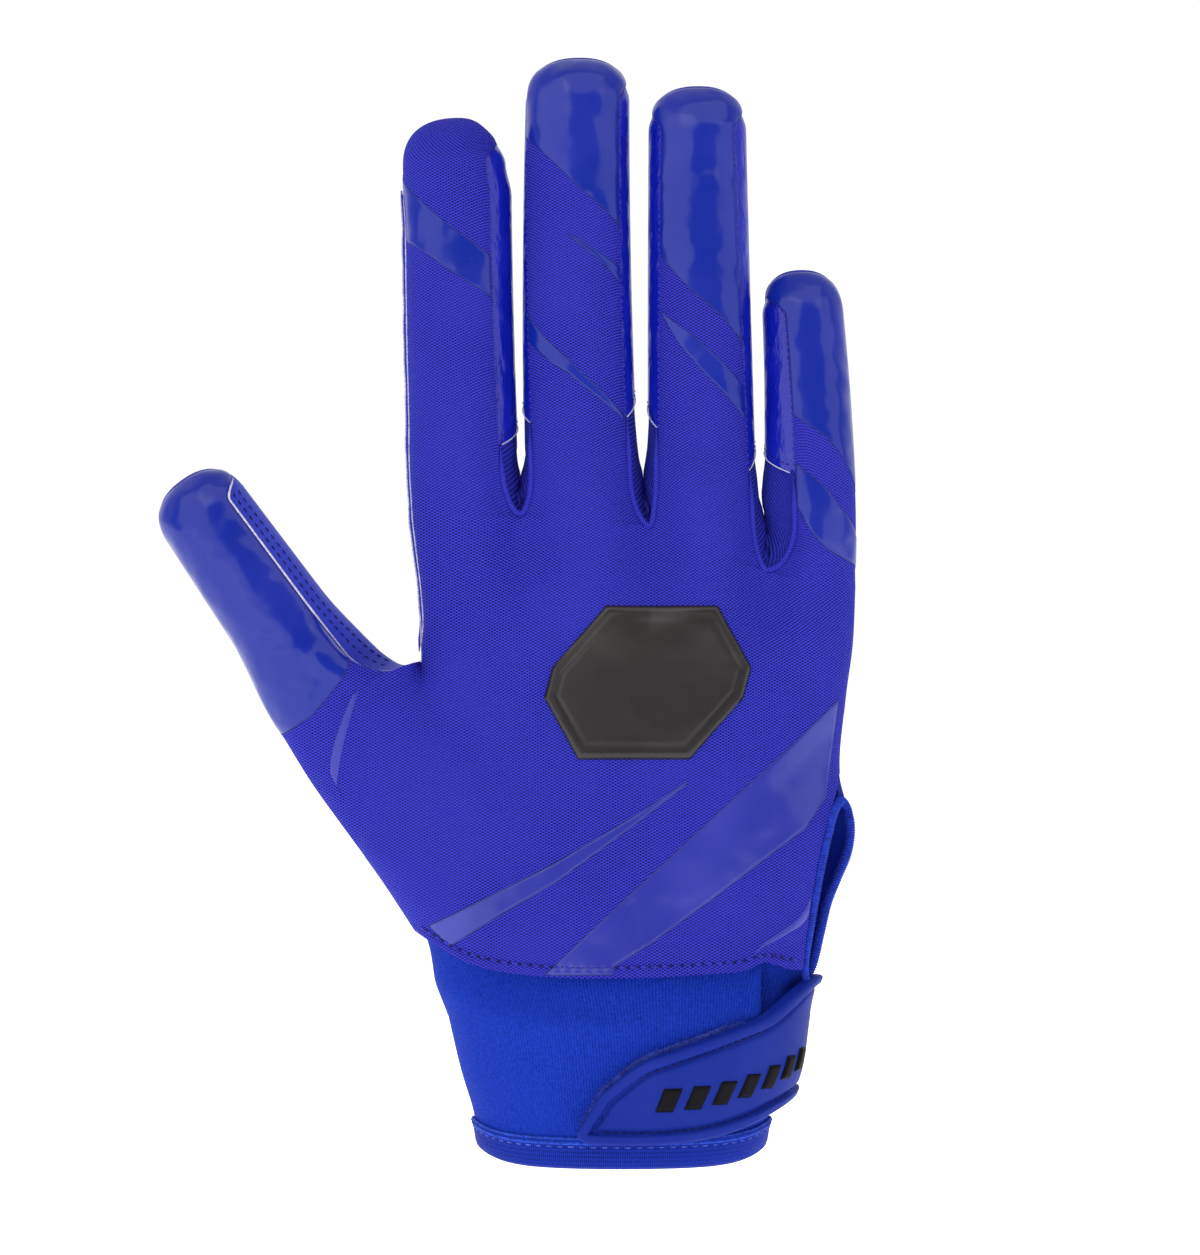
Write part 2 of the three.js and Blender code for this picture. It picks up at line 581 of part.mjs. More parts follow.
function fingerFilm(film) {
  const rows = film.rows.map(([across, low, high]) => ({ across, low, high }));
  const tipped = rows[0].high > 1.5;
  const capSteps = film.digit === 0 ? [0, 0.06, 0.13, 0.21, 0.3, 0.42, 0.54, 0.72, 0.86, 1] : [0, 0.27, 0.54, 0.72, 0.86, 1];
  const steps = tipped ? capSteps : [0, 0.5, 1];
  const lines = steps.map((share) => {
    const line = [];
    for (let c = 0; c <= COLUMNS; c += 1) {
      const first = rows[0].across;
      const last = rows[rows.length - 1].across;
      const aligned = first < 0.2 && c > 0 && c < COLUMNS;
      const across = aligned ? c / COLUMNS : lerp(first, last, c / COLUMNS);
      const low = alongTable(rows, 'across', 'low', across) * FINGER_LENGTH;
      const digit = DIGITS[film.digit];
      const top = digit.length * FINGER_LENGTH;
      const high = tipped ? top : alongTable(rows, 'across', 'high', across) * FINGER_LENGTH;
      const k0 = digitAtHeight(film.digit, across, low);
      const k1 = tipped ? 1.9 : digitAtHeight(film.digit, across, high);
      let k = lerp(k0, k1, share);
      if (tipped) {
        k = share < 0.54 ? lerp(k0, 1, share / 0.54) : lerp(1, 1.9, (share - 0.54) / 0.46);
      }
      const normal = digitNormal('back', film.digit, across, k);
      line.push(raised(digitPoint('back', film.digit, across, k), normal, FILM_GAP + FILM_WALL));
    }
    return line;
  });
  return filmSheet(lines);
}

// Column and row of the back panel under a planar place
function findOnBack(x, z) {
  let u = clamp(3 + x / HAND_WIDTH / 0.25, 1, 4.95);
  let v = clamp((z - CUFF_HEIGHT) / PALM_LENGTH / 0.16, 0.05, 5.9);
  for (let i = 0; i < 14; i += 1) {
    const here = bodyPlane('back', u, v);
    const du = bodyPlane('back', u + 0.01, v);
    const dv = bodyPlane('back', u, v + 0.01);
    const a = (du[0] - here[0]) * 100;
    const b = (dv[0] - here[0]) * 100;
    const c = (du[1] - here[1]) * 100;
    const d = (dv[1] - here[1]) * 100;
    const det = a * d - b * c;
    const ex = x - here[0];
    const ez = z - here[1];
    u = clamp(u + (d * ex - b * ez) / det, 0.2, 4.985);
    v = clamp(v + (a * ez - c * ex) / det, 0.03, 5.95);
  }
  return [u, v];
}

function backNormal(u, v) {
  const step = 0.02;
  const u0 = clamp(u, 0.1, 4.97);
  const v0 = clamp(v, step, 5.97);
  const across = bodyPoint('back', u0 + step, v0).sub(bodyPoint('back', u0 - step, v0));
  const up = bodyPoint('back', u0, v0 + step).sub(bodyPoint('back', u0, v0 - step));
  return across.cross(up).normalize();
}

function handFilm(film) {
  const steps = 4;
  const spans = 8;
  const lines = [];
  for (let s = 0; s <= steps; s += 1) {
    const line = [];
    for (let c = spans; c >= 0; c -= 1) {
      const at = (c / spans) * (film.rows.length - 1);
      const i = Math.min(Math.floor(at), film.rows.length - 2);
      const edge = [0, 1, 2, 3].map((k) => lerp(film.rows[i][k], film.rows[i + 1][k], at - i));
      const x = lerp(edge[2], edge[0], s / steps) * HAND_WIDTH;
      const z = lerp(edge[3], edge[1], s / steps) * PALM_LENGTH + CUFF_HEIGHT;
      const [u, v] = findOnBack(x, z);
      line.push(raised(bodyPoint('back', u, v), backNormal(u, v), FILM_GAP + film.wall));
    }
    lines.push(line);
  }
  return filmSheet(lines);
}

// Outside of the cuff at an angle from the middle of the back and a ring number from the top
function cuffPoint(angle, ring, grow = 0) {
  const value = (key) => through(CUFF_RINGS.map((row) => row[key]), ring);
  const x = (value('half_width') * WRIST_WIDTH + grow) * Math.sin(angle) + value('x_middle') * WRIST_WIDTH;
  const y = -(value('half_depth') * WRIST_WIDTH + grow) * Math.cos(angle);
  const z = (value('z') + value('side_lift') * Math.sin(angle) ** 2) * CUFF_HEIGHT;
  return vector(x, y, z);
}

// Ring number of the cuff at a height
function cuffRingAt(angle, z) {
  let low = 0;
  let high = CUFF_RINGS.length - 1;
  for (let i = 0; i < 30; i += 1) {
    const middle = (low + high) / 2;
    if (cuffPoint(angle, middle).z > z) {
      low = middle;
    } else {
      high = middle;
    }
  }
  return (low + high) / 2;
}

function cuffOutward(angle) {
  const half = CUFF_RINGS[2];
  return vector(Math.sin(angle) / half.half_width, -Math.cos(angle) / half.half_depth, 0).normalize();
}

// Lower edge of the hand panels at an angle from the middle of the back, as if the vent were shut
function panelFoot(angle) {
  const left = bodyPlane('palm', 0, 0)[0];
  const right = bodyPlane('palm', 5, 0)[0];
  const x = lerp(left, right, (Math.sin(angle) + 1) / 2);
  let low = 0;
  let high = 5;
  for (let i = 0; i < 30; i += 1) {
    const middle = (low + high) / 2;
    if (bodyPlane('palm', middle, 0)[0] < x) {
      low = middle;
    } else {
      high = middle;
    }
  }
  const foot = bodyPoint('palm', (low + high) / 2, 0);
  const share = Math.abs(Math.cos(angle));
  const depth = HAND_DEPTH * BODY_ROWS[0].palm * share;
  foot.y = HAND_DEPTH * BODY_ROWS[0].middle + (Math.cos(angle) >= 0 ? -depth : depth);
  return foot;
}

// Outside of the cuff at an angle and a height, flaring out to the hand panels above its top ring
function cuffSurface(angle, z) {
  const top = cuffPoint(angle, 0);
  if (z <= top.z) {
    return cuffPoint(angle, cuffRingAt(angle, z));
  }
  const foot = panelFoot(angle);
  const share = Math.min(1, (z - top.z) / (foot.z - top.z));
  return top.lerp(foot, share ** 1.5);
}

const AROUND = 24;

// Stretch cuff: a tube whose top edge slips under the hand panels
function cuffSheet() {
  const sheet = new Sheet();
  const rings = [];
  const inset = Math.max(KNIT_WALL, PALM_WALL) + LAYER_GAP;
  const circle = (make) => {
    const row = [];
    for (let i = 0; i < AROUND; i += 1) {
      row.push(sheet.add(make((i / AROUND) * 2 * Math.PI)));
    }
    row.push(row[0]);
    return row;
  };
  const bottom = CUFF_RINGS.length - 1;
  for (const ring of [bottom, 2, 1, 0.5, 0]) {
    rings.push(circle((angle) => cuffPoint(angle, ring)));
  }
  rings.push(circle((angle) => {
    const foot = panelFoot(angle);
    const outward = cuffOutward(angle);
    return foot.clone().addScaledVector(outward, -inset - 0.35).add(vector(0, 0, -0.9));
  }));
  rings.push(circle((angle) => {
    const foot = panelFoot(angle);
    const outward = cuffOutward(angle);
    return foot.clone().addScaledVector(outward, -inset - 0.35).add(vector(0, 0, 1.6));
  }));
  sheet.join(rings, false);
  return sheet;
}

// Ring with a closed cross-section: sections is a list of loops, one per station
function loft(sections, closedPath) {
  const vertices = [];
  const faces = [];
  const count = sections[0].length;
  sections.forEach((section) => section.forEach((point) => vertices.push(point)));
  const total = sections.length;
  const spans = closedPath ? total : total - 1;
  for (let s = 0; s < spans; s += 1) {
    const next = (s + 1) % total;
    for (let i = 0; i < count; i += 1) {
      const j = (i + 1) % count;
      const a = s * count + i;
      const b = s * count + j;
      const c = next * count + j;
      const d = next * count + i;
      faces.push([a, b, c], [a, c, d]);
    }
  }
  if (!closedPath) {
    const last = (total - 1) * count;
    for (let i = 1; i + 1 < count; i += 1) {
      faces.push([0, i + 1, i], [last, last + i, last + i + 1]);
    }
  }
  return { vertices, faces };
}

// Hem tape folded round the cuff's lower edge: outer leg, fold, inner leg
function hemSolid() {
  const sections = [];
  for (let s = 0; s < AROUND; s += 1) {
    const angle = (s / AROUND) * 2 * Math.PI;
    const outward = cuffOutward(angle);
    const bottom = cuffPoint(angle, CUFF_RINGS.length - 1);
    const at = (out, up) => {
      const lift = Math.max(0, up);
      const ring = cuffRingAt(angle, bottom.z + lift);
      const base = cuffPoint(angle, ring);
      return vector(base.x + outward.x * out, base.y + outward.y * out, bottom.z + up);
    };
    const outer = LAYER_GAP + HEM_WALL;
    const inner = CUFF_WALL + LAYER_GAP;
    const leg = CUFF_HEIGHT * 0.115;
    sections.push([
      at(LAYER_GAP, leg), at(outer, leg * 0.96), at(outer, 0), at(outer * 0.3, -LAYER_GAP - HEM_WALL),
      at(-inner * 0.85, -LAYER_GAP - HEM_WALL), at(-inner - HEM_WALL, 0), at(-inner - HEM_WALL, leg * 0.8),
      at(-inner, leg * 0.8), at(-inner, -LAYER_GAP), at(LAYER_GAP, -LAYER_GAP),
    ]);
  }
  return loft(sections, true);
}

// Tape or strap lying on the cuff: profile rows are [share across, height], base is its clearance
function bandSolid(stations, edges, base, profile) {
  const sections = stations.map((angle) => {
    const outward = cuffOutward(angle);
    const { low, high } = edges(angle);
    const at = (share, height) => {
      const z = lerp(low, high, share) * CUFF_HEIGHT;
      const foot = cuffSurface(angle, z);
      const spread = foot.clone().addScaledVector(outward, base + height);
      return vector(spread.x, spread.y, z);
    };
    return profile.map(([share, height]) => at(share, height));
  });
  return loft(sections, false);
}

function strapEdges(angle) {
  const degrees = angle / DEGREE;
  return {
    low: alongTable(STRAP_ROWS, 'angle', 'low', degrees),
    high: alongTable(STRAP_ROWS, 'angle', 'high', degrees),
  };
}

const STRAP_BASE = LAYER_GAP + HOOK_WALL + LAYER_GAP;

function strapSolid() {
  const top = STRAP_WALL + STRAP_RIM;
  const profile = [
    [0, 0], [0, top * 0.6], [0.03, top], [0.09, top], [0.12, STRAP_WALL], [0.5, STRAP_WALL],
    [0.88, STRAP_WALL], [0.91, top], [0.97, top], [1, top * 0.6], [1, 0], [0.5, 0],
  ];
  const stations = [];
  STRAP_ROWS.forEach((row, i) => {
    stations.push(row.angle * DEGREE);
    if (i > 8 && i + 1 < STRAP_ROWS.length) {
      stations.push(((row.angle + STRAP_ROWS[i + 1].angle) / 2) * DEGREE);
    }
  });
  return bandSolid(stations, strapEdges, STRAP_BASE, profile);
}

function hookSolid() {
  const stations = [];
  for (let i = 0; i <= HOOK_PATCH.steps; i += 1) {
    stations.push(lerp(HOOK_PATCH.from, HOOK_PATCH.to, i / HOOK_PATCH.steps) * DEGREE);
  }
  const edges = (angle) => {
    const { low, high } = strapEdges(angle);
    return { low: low + 0.04, high: high + 0.02 };
  };
  return bandSolid(stations, edges, LAYER_GAP, [[0, 0], [0, HOOK_WALL], [0.5, HOOK_WALL], [1, HOOK_WALL], [1, 0], [0.5, 0]]);
}

// Plain slanted bars standing on the strap's flat
function barSolid(number) {
  const share = (number + 0.5) / STRAP_BARS.count;
  const angle = lerp(STRAP_BARS.from, STRAP_BARS.to, share) * DEGREE;
  const radius = CUFF_RINGS[2].half_width * WRIST_WIDTH + STRAP_BASE + STRAP_WALL;
  const halfTurn = STRAP_BARS.width / 2 / radius;
  const slant = STRAP_BARS.slant / radius;
  const { low } = strapEdges(angle);
  const bottom = low + STRAP_BARS.low;
  const base = STRAP_BASE + STRAP_WALL + LAYER_GAP;
  const at = (turn, up, height) => {
    const z = (bottom + up * STRAP_BARS.height) * CUFF_HEIGHT;
    const where = angle + turn + slant * (up - 0.5);
    const outward = cuffOutward(where);
    const foot = cuffSurface(where, z);
    return vector(foot.x + outward.x * (base + height), foot.y + outward.y * (base + height), z);
  };
  const sections = [-halfTurn, 0, halfTurn].map((turn) => [
    at(turn, 0, 0), at(turn, 0, BAR_WALL), at(turn, 1, BAR_WALL), at(turn, 1, 0),
  ]);
  return loft(sections, false);
}

// Overlocked roll round the vent: up the back panel's cut edge and down the palm's
function ventSolid() {
  const clearance = VENT_ROLL_RADIUS + SEAM_GAP;
  const path = [];
  const rows = [0.12, 0.5, 0.9, 1.3, 1.7, 2.1, 2.4];
  const pair = (v) => {
    const back = bodyPoint('back', 5, v);
    const palm = bodyPoint('palm', 5, v);
    return { back, palm, across: palm.clone().sub(back).normalize() };
  };
  for (const v of rows) {
    const { back, across } = pair(v);
    path.push(back.addScaledVector(across, clearance));
  }
  const top = pair(2.55);
  path.push(top.back.clone().lerp(top.palm, 0.5));
  for (const v of [...rows].reverse()) {
    const { palm, across } = pair(v);
    path.push(palm.addScaledVector(across, -clearance));
  }
  const sections = path.map((point, i) => {
    const before = path[Math.max(0, i - 1)];
    const after = path[Math.min(path.length - 1, i + 1)];
    const along = after.clone().sub(before).normalize();
    const side = vector(1, 0, 0).cross(along).normalize();
    const other = along.clone().cross(side).normalize();
    const loop = [];
    for (let s = 0; s < 6; s += 1) {
      const turn = (s / 6) * 2 * Math.PI;
      const spoke = side.clone().multiplyScalar(Math.cos(turn)).addScaledVector(other, Math.sin(turn));
      loop.push(point.clone().addScaledVector(spoke, VENT_ROLL_RADIUS));
    }
    return loop;
  });
  return loft(sections, false);
}

function meshOf(name, solid, colour, roughness) {
  const flat = new Float32Array(solid.faces.length * 9);
  solid.faces.forEach((face, f) => {
    face.forEach((index, i) => {
      const point = solid.vertices[index];
      flat.set([point.x, point.y, point.z], f * 9 + i * 3);
    });
  });
  const volume = solid.faces.reduce((sum, [a, b, c]) => {
    const [p, q, r] = [solid.vertices[a], solid.vertices[b], solid.vertices[c]];
    return sum + p.dot(q.clone().cross(r)) / 6;
  }, 0);
  if (volume < 0) {
    for (let i = 0; i < flat.length; i += 9) {
      for (let k = 0; k < 3; k += 1) {
        const keep = flat[i + 3 + k];
        flat[i + 3 + k] = flat[i + 6 + k];
        flat[i + 6 + k] = keep;
      }
    }
  }
  const geometry = new THREE.BufferGeometry();
  geometry.setAttribute('position', new THREE.BufferAttribute(flat, 3));
  geometry.computeVertexNormals();
  const material = new THREE.MeshStandardMaterial({ color: COLOURS[colour], roughness, metalness: 0 });
  const mesh = new THREE.Mesh(geometry, material);
  mesh.name = name;
  return mesh;
}

function buildGlove() {
  const glove = new THREE.Group();
  glove.name = 'receiver_glove';
  const back = combSheet('back');
  const palm = combSheet('palm');
  const shared = new Map();
  const met = new Map();
  for (const sheet of [back, palm]) {
    const sums = sheet.normals();
    const edge = new Set(sheet.border().flat());
    for (const i of edge) {
      const key = placeKey(sheet.points[i]);
      const unit = sums[i].clone().normalize();
      shared.set(key, shared.has(key) ? shared.get(key).add(unit) : unit);
      met.set(key, (met.get(key) || 0) + 1);
    }
  }
  for (const [key, times] of met) {
    if (times < 2) {
      shared.delete(key);
    }
  }
  glove.add(meshOf('back_panel', shell(back, KNIT_WALL, shared), 'knit', 0.85));
  glove.add(meshOf('palm_panel', shell(palm, PALM_WALL, shared), 'palm', 0.5));
  for (const fork of FORKS) {
    for (const piece of forkSheets(fork)) {
      glove.add(meshOf(piece.name, shell(piece.sheet, piece.wall), piece.colour, 0.5));
    }
  }
  for (const film of FINGER_FILMS) {
    glove.add(meshOf(film.name, shell(fingerFilm(film), FILM_WALL, null, 0), 'film', 0.25));
  }
  for (const film of HAND_FILMS) {
    const colour = film.name === 'back_badge' ? 'black' : 'film';
    glove.add(meshOf(film.name, shell(handFilm(film), film.wall, null, 0), colour, 0.25));
  }
  glove.add(meshOf('cuff', shell(cuffSheet(), CUFF_WALL, null, 0), 'cuff', 0.8));
  glove.add(meshOf('hem_binding', hemSolid(), 'hem', 0.7));
  glove.add(meshOf('vent_binding', ventSolid(), 'roll', 0.6));
  glove.add(meshOf('strap_hook_patch', hookSolid(), 'hook', 0.95));
  glove.add(meshOf('strap', strapSolid(), 'strap', 0.45));
  for (let i = 0; i < STRAP_BARS.count; i += 1) {
    glove.add(meshOf(`strap_bar_${i + 1}`, barSolid(i), 'black', 0.4));
  }
  return glove;
}

export default buildGlove();
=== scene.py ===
"""Football receiver glove for the right hand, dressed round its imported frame.

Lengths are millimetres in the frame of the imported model, unless a name says otherwise: X across the hand
towards the little finger, Y from the back of the hand to the palm, Z up towards the fingertips.
"""

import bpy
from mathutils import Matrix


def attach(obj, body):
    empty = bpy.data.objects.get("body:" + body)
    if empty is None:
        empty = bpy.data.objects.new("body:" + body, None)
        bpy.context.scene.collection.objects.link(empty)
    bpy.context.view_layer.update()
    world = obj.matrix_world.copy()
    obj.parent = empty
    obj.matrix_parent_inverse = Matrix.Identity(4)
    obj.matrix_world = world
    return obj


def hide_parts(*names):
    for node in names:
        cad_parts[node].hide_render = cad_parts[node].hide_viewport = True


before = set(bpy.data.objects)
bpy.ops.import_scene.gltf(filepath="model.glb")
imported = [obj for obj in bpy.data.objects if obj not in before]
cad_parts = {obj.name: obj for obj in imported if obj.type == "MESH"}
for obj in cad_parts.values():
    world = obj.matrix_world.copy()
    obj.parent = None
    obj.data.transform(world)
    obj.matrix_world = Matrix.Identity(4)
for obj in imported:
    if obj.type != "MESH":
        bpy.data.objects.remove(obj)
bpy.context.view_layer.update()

import logging
import math
from collections.abc import Callable, Sequence
from dataclasses import dataclass, field
from enum import Enum
from typing import Any

import bpy
from mathutils import Vector
import numpy as np

LOG = logging.getLogger("glove")
METRES = 0.001
BODY = "root"
CLOTH_UV = "cloth"
Array = np.ndarray

HAND_WIDTH = 91.6
PALM_LENGTH = 92.3
FINGER_LENGTH = 95.1
CUFF_HEIGHT = 39.4
WRIST_WIDTH = 59.7
HAND_DEPTH = 31.0
FINGER_DEPTH = 17.5
DOME_LENGTH = 9.8
SQUIRCLE = 2.4
INDEX_TIP_TRIM = 2.6
INDEX_SIDE_TRIM = 0.75

KNIT_WALL = 1.0
PALM_WALL = 1.2
SIDE_WALL = 1.0
CUFF_WALL = 2.4
FORK_OPENING = FINGER_LENGTH * 0.108
FORK_BLEND = FINGER_LENGTH * 0.24
FORK_BULGE = FINGER_DEPTH * 0.09
SEAM_RISE = 2.1
SEAM_PITCH = 2.15
FOLD_WAVE_X = 30.0
FILM_SUNK = 0.12
FILM_LIP = 0.03

THUMB_ROW = 4
FINGER_ROW = 6
VENT_ROW = 3
NORMAL_STEP = 0.02

BODY_X = np.array([
    [-0.456, -0.318, -0.146, 0.048, 0.237, 0.446],
    [-0.530, -0.361, -0.161, 0.048, 0.246, 0.490],
    [-0.611, -0.403, -0.177, 0.052, 0.262, 0.528],
    [-0.685, -0.430, -0.195, 0.054, 0.278, 0.497],
    [-0.749, -0.441, -0.208, 0.059, 0.298, 0.510],
    [-0.560, -0.436, -0.215, 0.066, 0.316, 0.526],
    [-0.560, -0.459, -0.218, 0.073, 0.333, 0.532],
])
BODY_Z = np.array([
    [0.107, 0.039, 0.016, 0.015, 0.023, 0.024],
    [0.218, 0.174, 0.151, 0.149, 0.163, 0.182],
    [0.329, 0.316, 0.309, 0.310, 0.313, 0.318],
    [0.431, 0.498, 0.471, 0.467, 0.466, 0.458],
    [0.533, 0.704, 0.642, 0.631, 0.626, 0.618],
    [0.800, 0.813, 0.833, 0.813, 0.762, 0.740],
    [1.018, 1.018, 1.025, 0.999, 0.901, 0.867],
])
PALM_FORK_X = np.array([-0.560, -0.459, -0.217, 0.065, 0.318, 0.532])
PALM_FORK_Z = np.array([1.018, 1.018, 1.109, 1.113, 1.024, 0.867])
THUMB_BLEND_ROWS = 2.6
VALLEY_DEPTH = 0.42
VALLEY_WIDTH = 0.27
KNUCKLE_RISE = 0.07
KNUCKLE_ROW = 5.2
THUMB_JOINTS = (0.45,)
FINGER_JOINTS = (0.07, 0.36, 0.66)
FINGER_PADS = (0.21, 0.51, 0.84)
PALM_TRIM = 1.2
PALM_TRIM_Z = 53.0
PALM_TRIM_REACH = 9.0
SLIT = np.array([0.036, 0.060, 0.072, 0.0, 0.0, 0.0, 0.0])
BACK_DEPTH = np.array([0.64, 0.60, 0.54, 0.50, 0.47, 0.44, 0.40])
PALM_DEPTH = np.array([0.64, 0.64, 0.60, 0.56, 0.50, 0.44, 0.36])
MIDDLE = np.array([0.0, 0.0, 0.0, 0.01, 0.02, 0.02, 0.02])


class Side(Enum):
    """The two big panels of the glove."""

    BACK = "back"
    PALM = "palm"


@dataclass(frozen=True)
class Digit:
    """One finger or the thumb, in shares of the glove's named sizes.

    Seam angles are degrees from the middle of the back, left and right, at the root and at the tip.
    """

    name: str
    root_x: float
    root_z: float
    length: float
    lean: float
    bow: float
    curl: float
    width: tuple[float, float]
    depth: tuple[float, float]
    forks: tuple[int, int]
    back: tuple[tuple[float, float], tuple[float, float]]
    palm: tuple[tuple[float, float], tuple[float, float]]

    def angles(self, side: Side, share: Array) -> tuple[Array, Array]:
        """Left and right seam angles in radians at a share up the straight part."""
        root, tip = self.back if side is Side.BACK else self.palm
        left = np.radians(lerp(root[0], tip[0], np.clip(share, 0, 1)))
        right = np.radians(lerp(root[1], tip[1], np.clip(share, 0, 1)))
        return left, right

    @property
    def shoulder(self) -> float:
        """Height above the root where the rounded tip starts."""
        return self.length * FINGER_LENGTH - DOME_LENGTH


DIGITS = (
    Digit("thumb", -0.649, 0.644, 0.552, -35.4, 0.0, 0.05, (0.124, 0.106), (1.12, 0.96), (0, 1),
          ((-90, 40), (-90, 38)), ((-90, 140), (-90, 142))),
    Digit("index", -0.341, 1.022, 0.871, -1.4, -0.006, 0.08, (0.125, 0.122), (1.00, 0.90), (0, 1),
          ((-90, 43), (-90, 38)), ((-90, 60), (-90, 60))),
    Digit("middle", -0.078, 1.013, 1.011, -0.6, -0.008, 0.09, (0.129, 0.117), (1.02, 0.91), (1, 1),
          ((-55, 56), (-78, 54)), ((-60, 60), (-60, 60))),
    Digit("ring", 0.192, 0.962, 0.999, -0.75, -0.002, 0.09, (0.124, 0.110), (0.98, 0.88), (1, 1),
          ((-56, 62), (-50, 48)), ((-60, 60), (-60, 60))),
    Digit("little", 0.432, 0.896, 0.662, -1.9, 0.008, 0.07, (0.105, 0.090), (0.88, 0.80), (1, 0),
          ((-18, 90), (-29, 90)), ((-60, 90), (-60, 90))),
)


def lerp(a: Any, b: Any, t: Any) -> Any:
    """Straight blend from a at t 0 to b at t 1."""
    return a + (b - a) * t


def smooth(share: Any) -> Array:
    """Ease from 0 to 1: three squares less two cubes of the share."""
    c = np.clip(share, 0, 1)
    return c * c * (3 - 2 * c)


def arch(share: Any) -> Array:
    """Quarter circle from 0 up to 1."""
    return np.sqrt(np.maximum(0, 1 - (1 - np.clip(share, 0, 1)) ** 2))


def lobe(share: Any) -> Array:
    """Rounded section: 1 in the middle and 0 at both edges, a superellipse of power 2.3."""
    return (1 - np.minimum(1, np.abs(share)) ** 2.3) ** (1 / 2.3)


def unit(vectors: Array) -> Array:
    """Vectors scaled to length 1."""
    return vectors / np.maximum(np.linalg.norm(vectors, axis=-1, keepdims=True), 1e-12)


def through(table: Array, at: Array) -> Array:
    """Catmull-Rom curve through numbers at whole stations, with straight ends.

    Args:
        table: The numbers, or a stack of arrays shaped like at.
        at: Stations to read.

    Returns:
        The curve's values, shaped like at.
    """
    at = np.asarray(at, float)
    last = len(table) - 1
    i = np.clip(np.floor(at).astype(int), 0, last - 1)
    t = at - i

    def pick(station: Array) -> Array:
        """Table values at clipped stations."""
        station = np.clip(station, 0, last)
        if table.ndim == 1:
            return table[station]
        return np.take_along_axis(table, station[None], axis=0)[0]

    b, c = pick(i), pick(i + 1)
    a = np.where(i > 0, pick(i - 1), 2 * b - c)
    d = np.where(i + 2 <= last, pick(i + 2), 2 * c - b)
    cubic = 3 * b - a - 3 * c + d
    return 0.5 * (2 * b + (c - a) * t + (2 * a - 5 * b + 4 * c - d) * t * t + cubic * t**3)


def along_table(stations: Array, values: Array, at: Array) -> Array:
    """Catmull-Rom curve through values whose stations need not be even."""
    at = np.asarray(at, float)
    i = np.clip(np.searchsorted(stations, at, side="left") - 1, 0, len(stations) - 2)
    share = np.clip((at - stations[i]) / (stations[i + 1] - stations[i]), 0, 1)
    return through(values, i + share)


def arc_length(path: Array) -> Array:
    """Distance along a path of points, from its first."""
    steps = np.linalg.norm(np.diff(path, axis=0), axis=-1)
    return np.concatenate([np.zeros((1, *steps.shape[1:])), np.cumsum(steps, axis=0)])


def distinct(path: Array) -> Array:
    """Which points of a path are not a repeat of the one before."""
    return np.concatenate([[True], np.linalg.norm(np.diff(path, axis=0), axis=1) > 1e-3])


def halving(shape: tuple[int, ...], last: float, before: Callable[[Array], Array]) -> Array:
    """Places from 0 to last where a test stops being true, by halving."""
    low = np.zeros(shape)
    high = np.full(shape, last)
    for _ in range(26):
        middle = (low + high) / 2
        short = before(middle)
        low = np.where(short, middle, low)
        high = np.where(short, high, middle)
    return (low + high) / 2


def panel_normal(side: "Side", point: Callable[[Array, Array], Array], u: Array, v: Array) -> Array:
    """Outward direction of a panel, from small steps both ways of its two shares."""
    across = point(u + NORMAL_STEP, v) - point(u - NORMAL_STEP, v)
    upward = point(u, v + NORMAL_STEP) - point(u, v - NORMAL_STEP)
    normal = unit(np.cross(across, upward))
    return normal if side is Side.BACK else -normal


def ridge(x: Array, z: Array, line: Sequence[tuple[float, float]], width: float) -> Array:
    """Height of a soft ridge: a bell over the distance to a line of points in the XZ plane."""
    nearest = np.full(np.shape(x), 1e9)
    for (x0, z0), (x1, z1) in zip(line[:-1], line[1:]):
        dx, dz = x1 - x0, z1 - z0
        share = np.clip(((x - x0) * dx + (z - z0) * dz) / (dx * dx + dz * dz), 0, 1)
        nearest = np.minimum(nearest, np.hypot(x - x0 - share * dx, z - z0 - share * dz))
    return np.exp(-((nearest / width) ** 2))


@dataclass(frozen=True)
class Crease:
    """Soft fold over a panel: a line in the XZ plane, its width and its height outwards."""

    line: tuple[tuple[float, float], ...]
    width: float
    height: float


BACK_CREASES = (
    Crease(((-50.4, 104.5), (-56.4, 88.6), (-58.6, 77.0)), 1.9, 0.42),
    Crease(((-54.5, 101.3), (-61.0, 87.0), (-63.5, 74.0)), 2.6, -0.55),
    Crease(((-45.0, 99.5), (-50.2, 86.0), (-51.5, 72.0)), 3.2, -0.50),
    Crease(((-40.5, 100.0), (-44.0, 84.0)), 3.0, 0.35),
    Crease(((-36.0, 126.0), (-22.0, 129.0)), 4.5, 0.25),
    Crease(((34.0, 80.0), (45.5, 91.0)), 2.4, -0.35),
    Crease(((8.0, 52.0), (22.0, 58.0), (33.0, 69.0)), 3.4, -0.22),
    Crease(((27.5, 41.0), (29.0, 46.2), (34.5, 49.6), (38.0, 53.5)), 1.1, 0.42),
    Crease(((30.5, 41.0), (32.2, 44.6), (37.5, 48.0)), 1.5, -0.45),
    Crease(((2.2, 55.0), (3.4, 50.5), (4.8, 46.0)), 0.5, -0.16),
    Crease(((-12.0, 54.5), (-4.5, 58.2), (4.5, 64.5)), 0.9, 0.22),
)
PALM_CREASES = (
    Crease(((-40.0, 104.0), (-22.0, 98.0), (-9.0, 84.0), (-6.0, 62.0), (-10.0, 48.0)), 1.2, -0.75),
    Crease(((-40.0, 107.0), (-18.0, 102.0), (6.0, 92.0), (26.0, 84.0)), 1.1, -0.60),
    Crease(((47.0, 103.0), (28.0, 104.0), (4.0, 110.0), (-14.0, 119.0)), 1.1, -0.65),
    Crease(((-28.0, 56.0), (-19.0, 66.0), (-16.0, 80.0)), 5.5, 0.5),
)


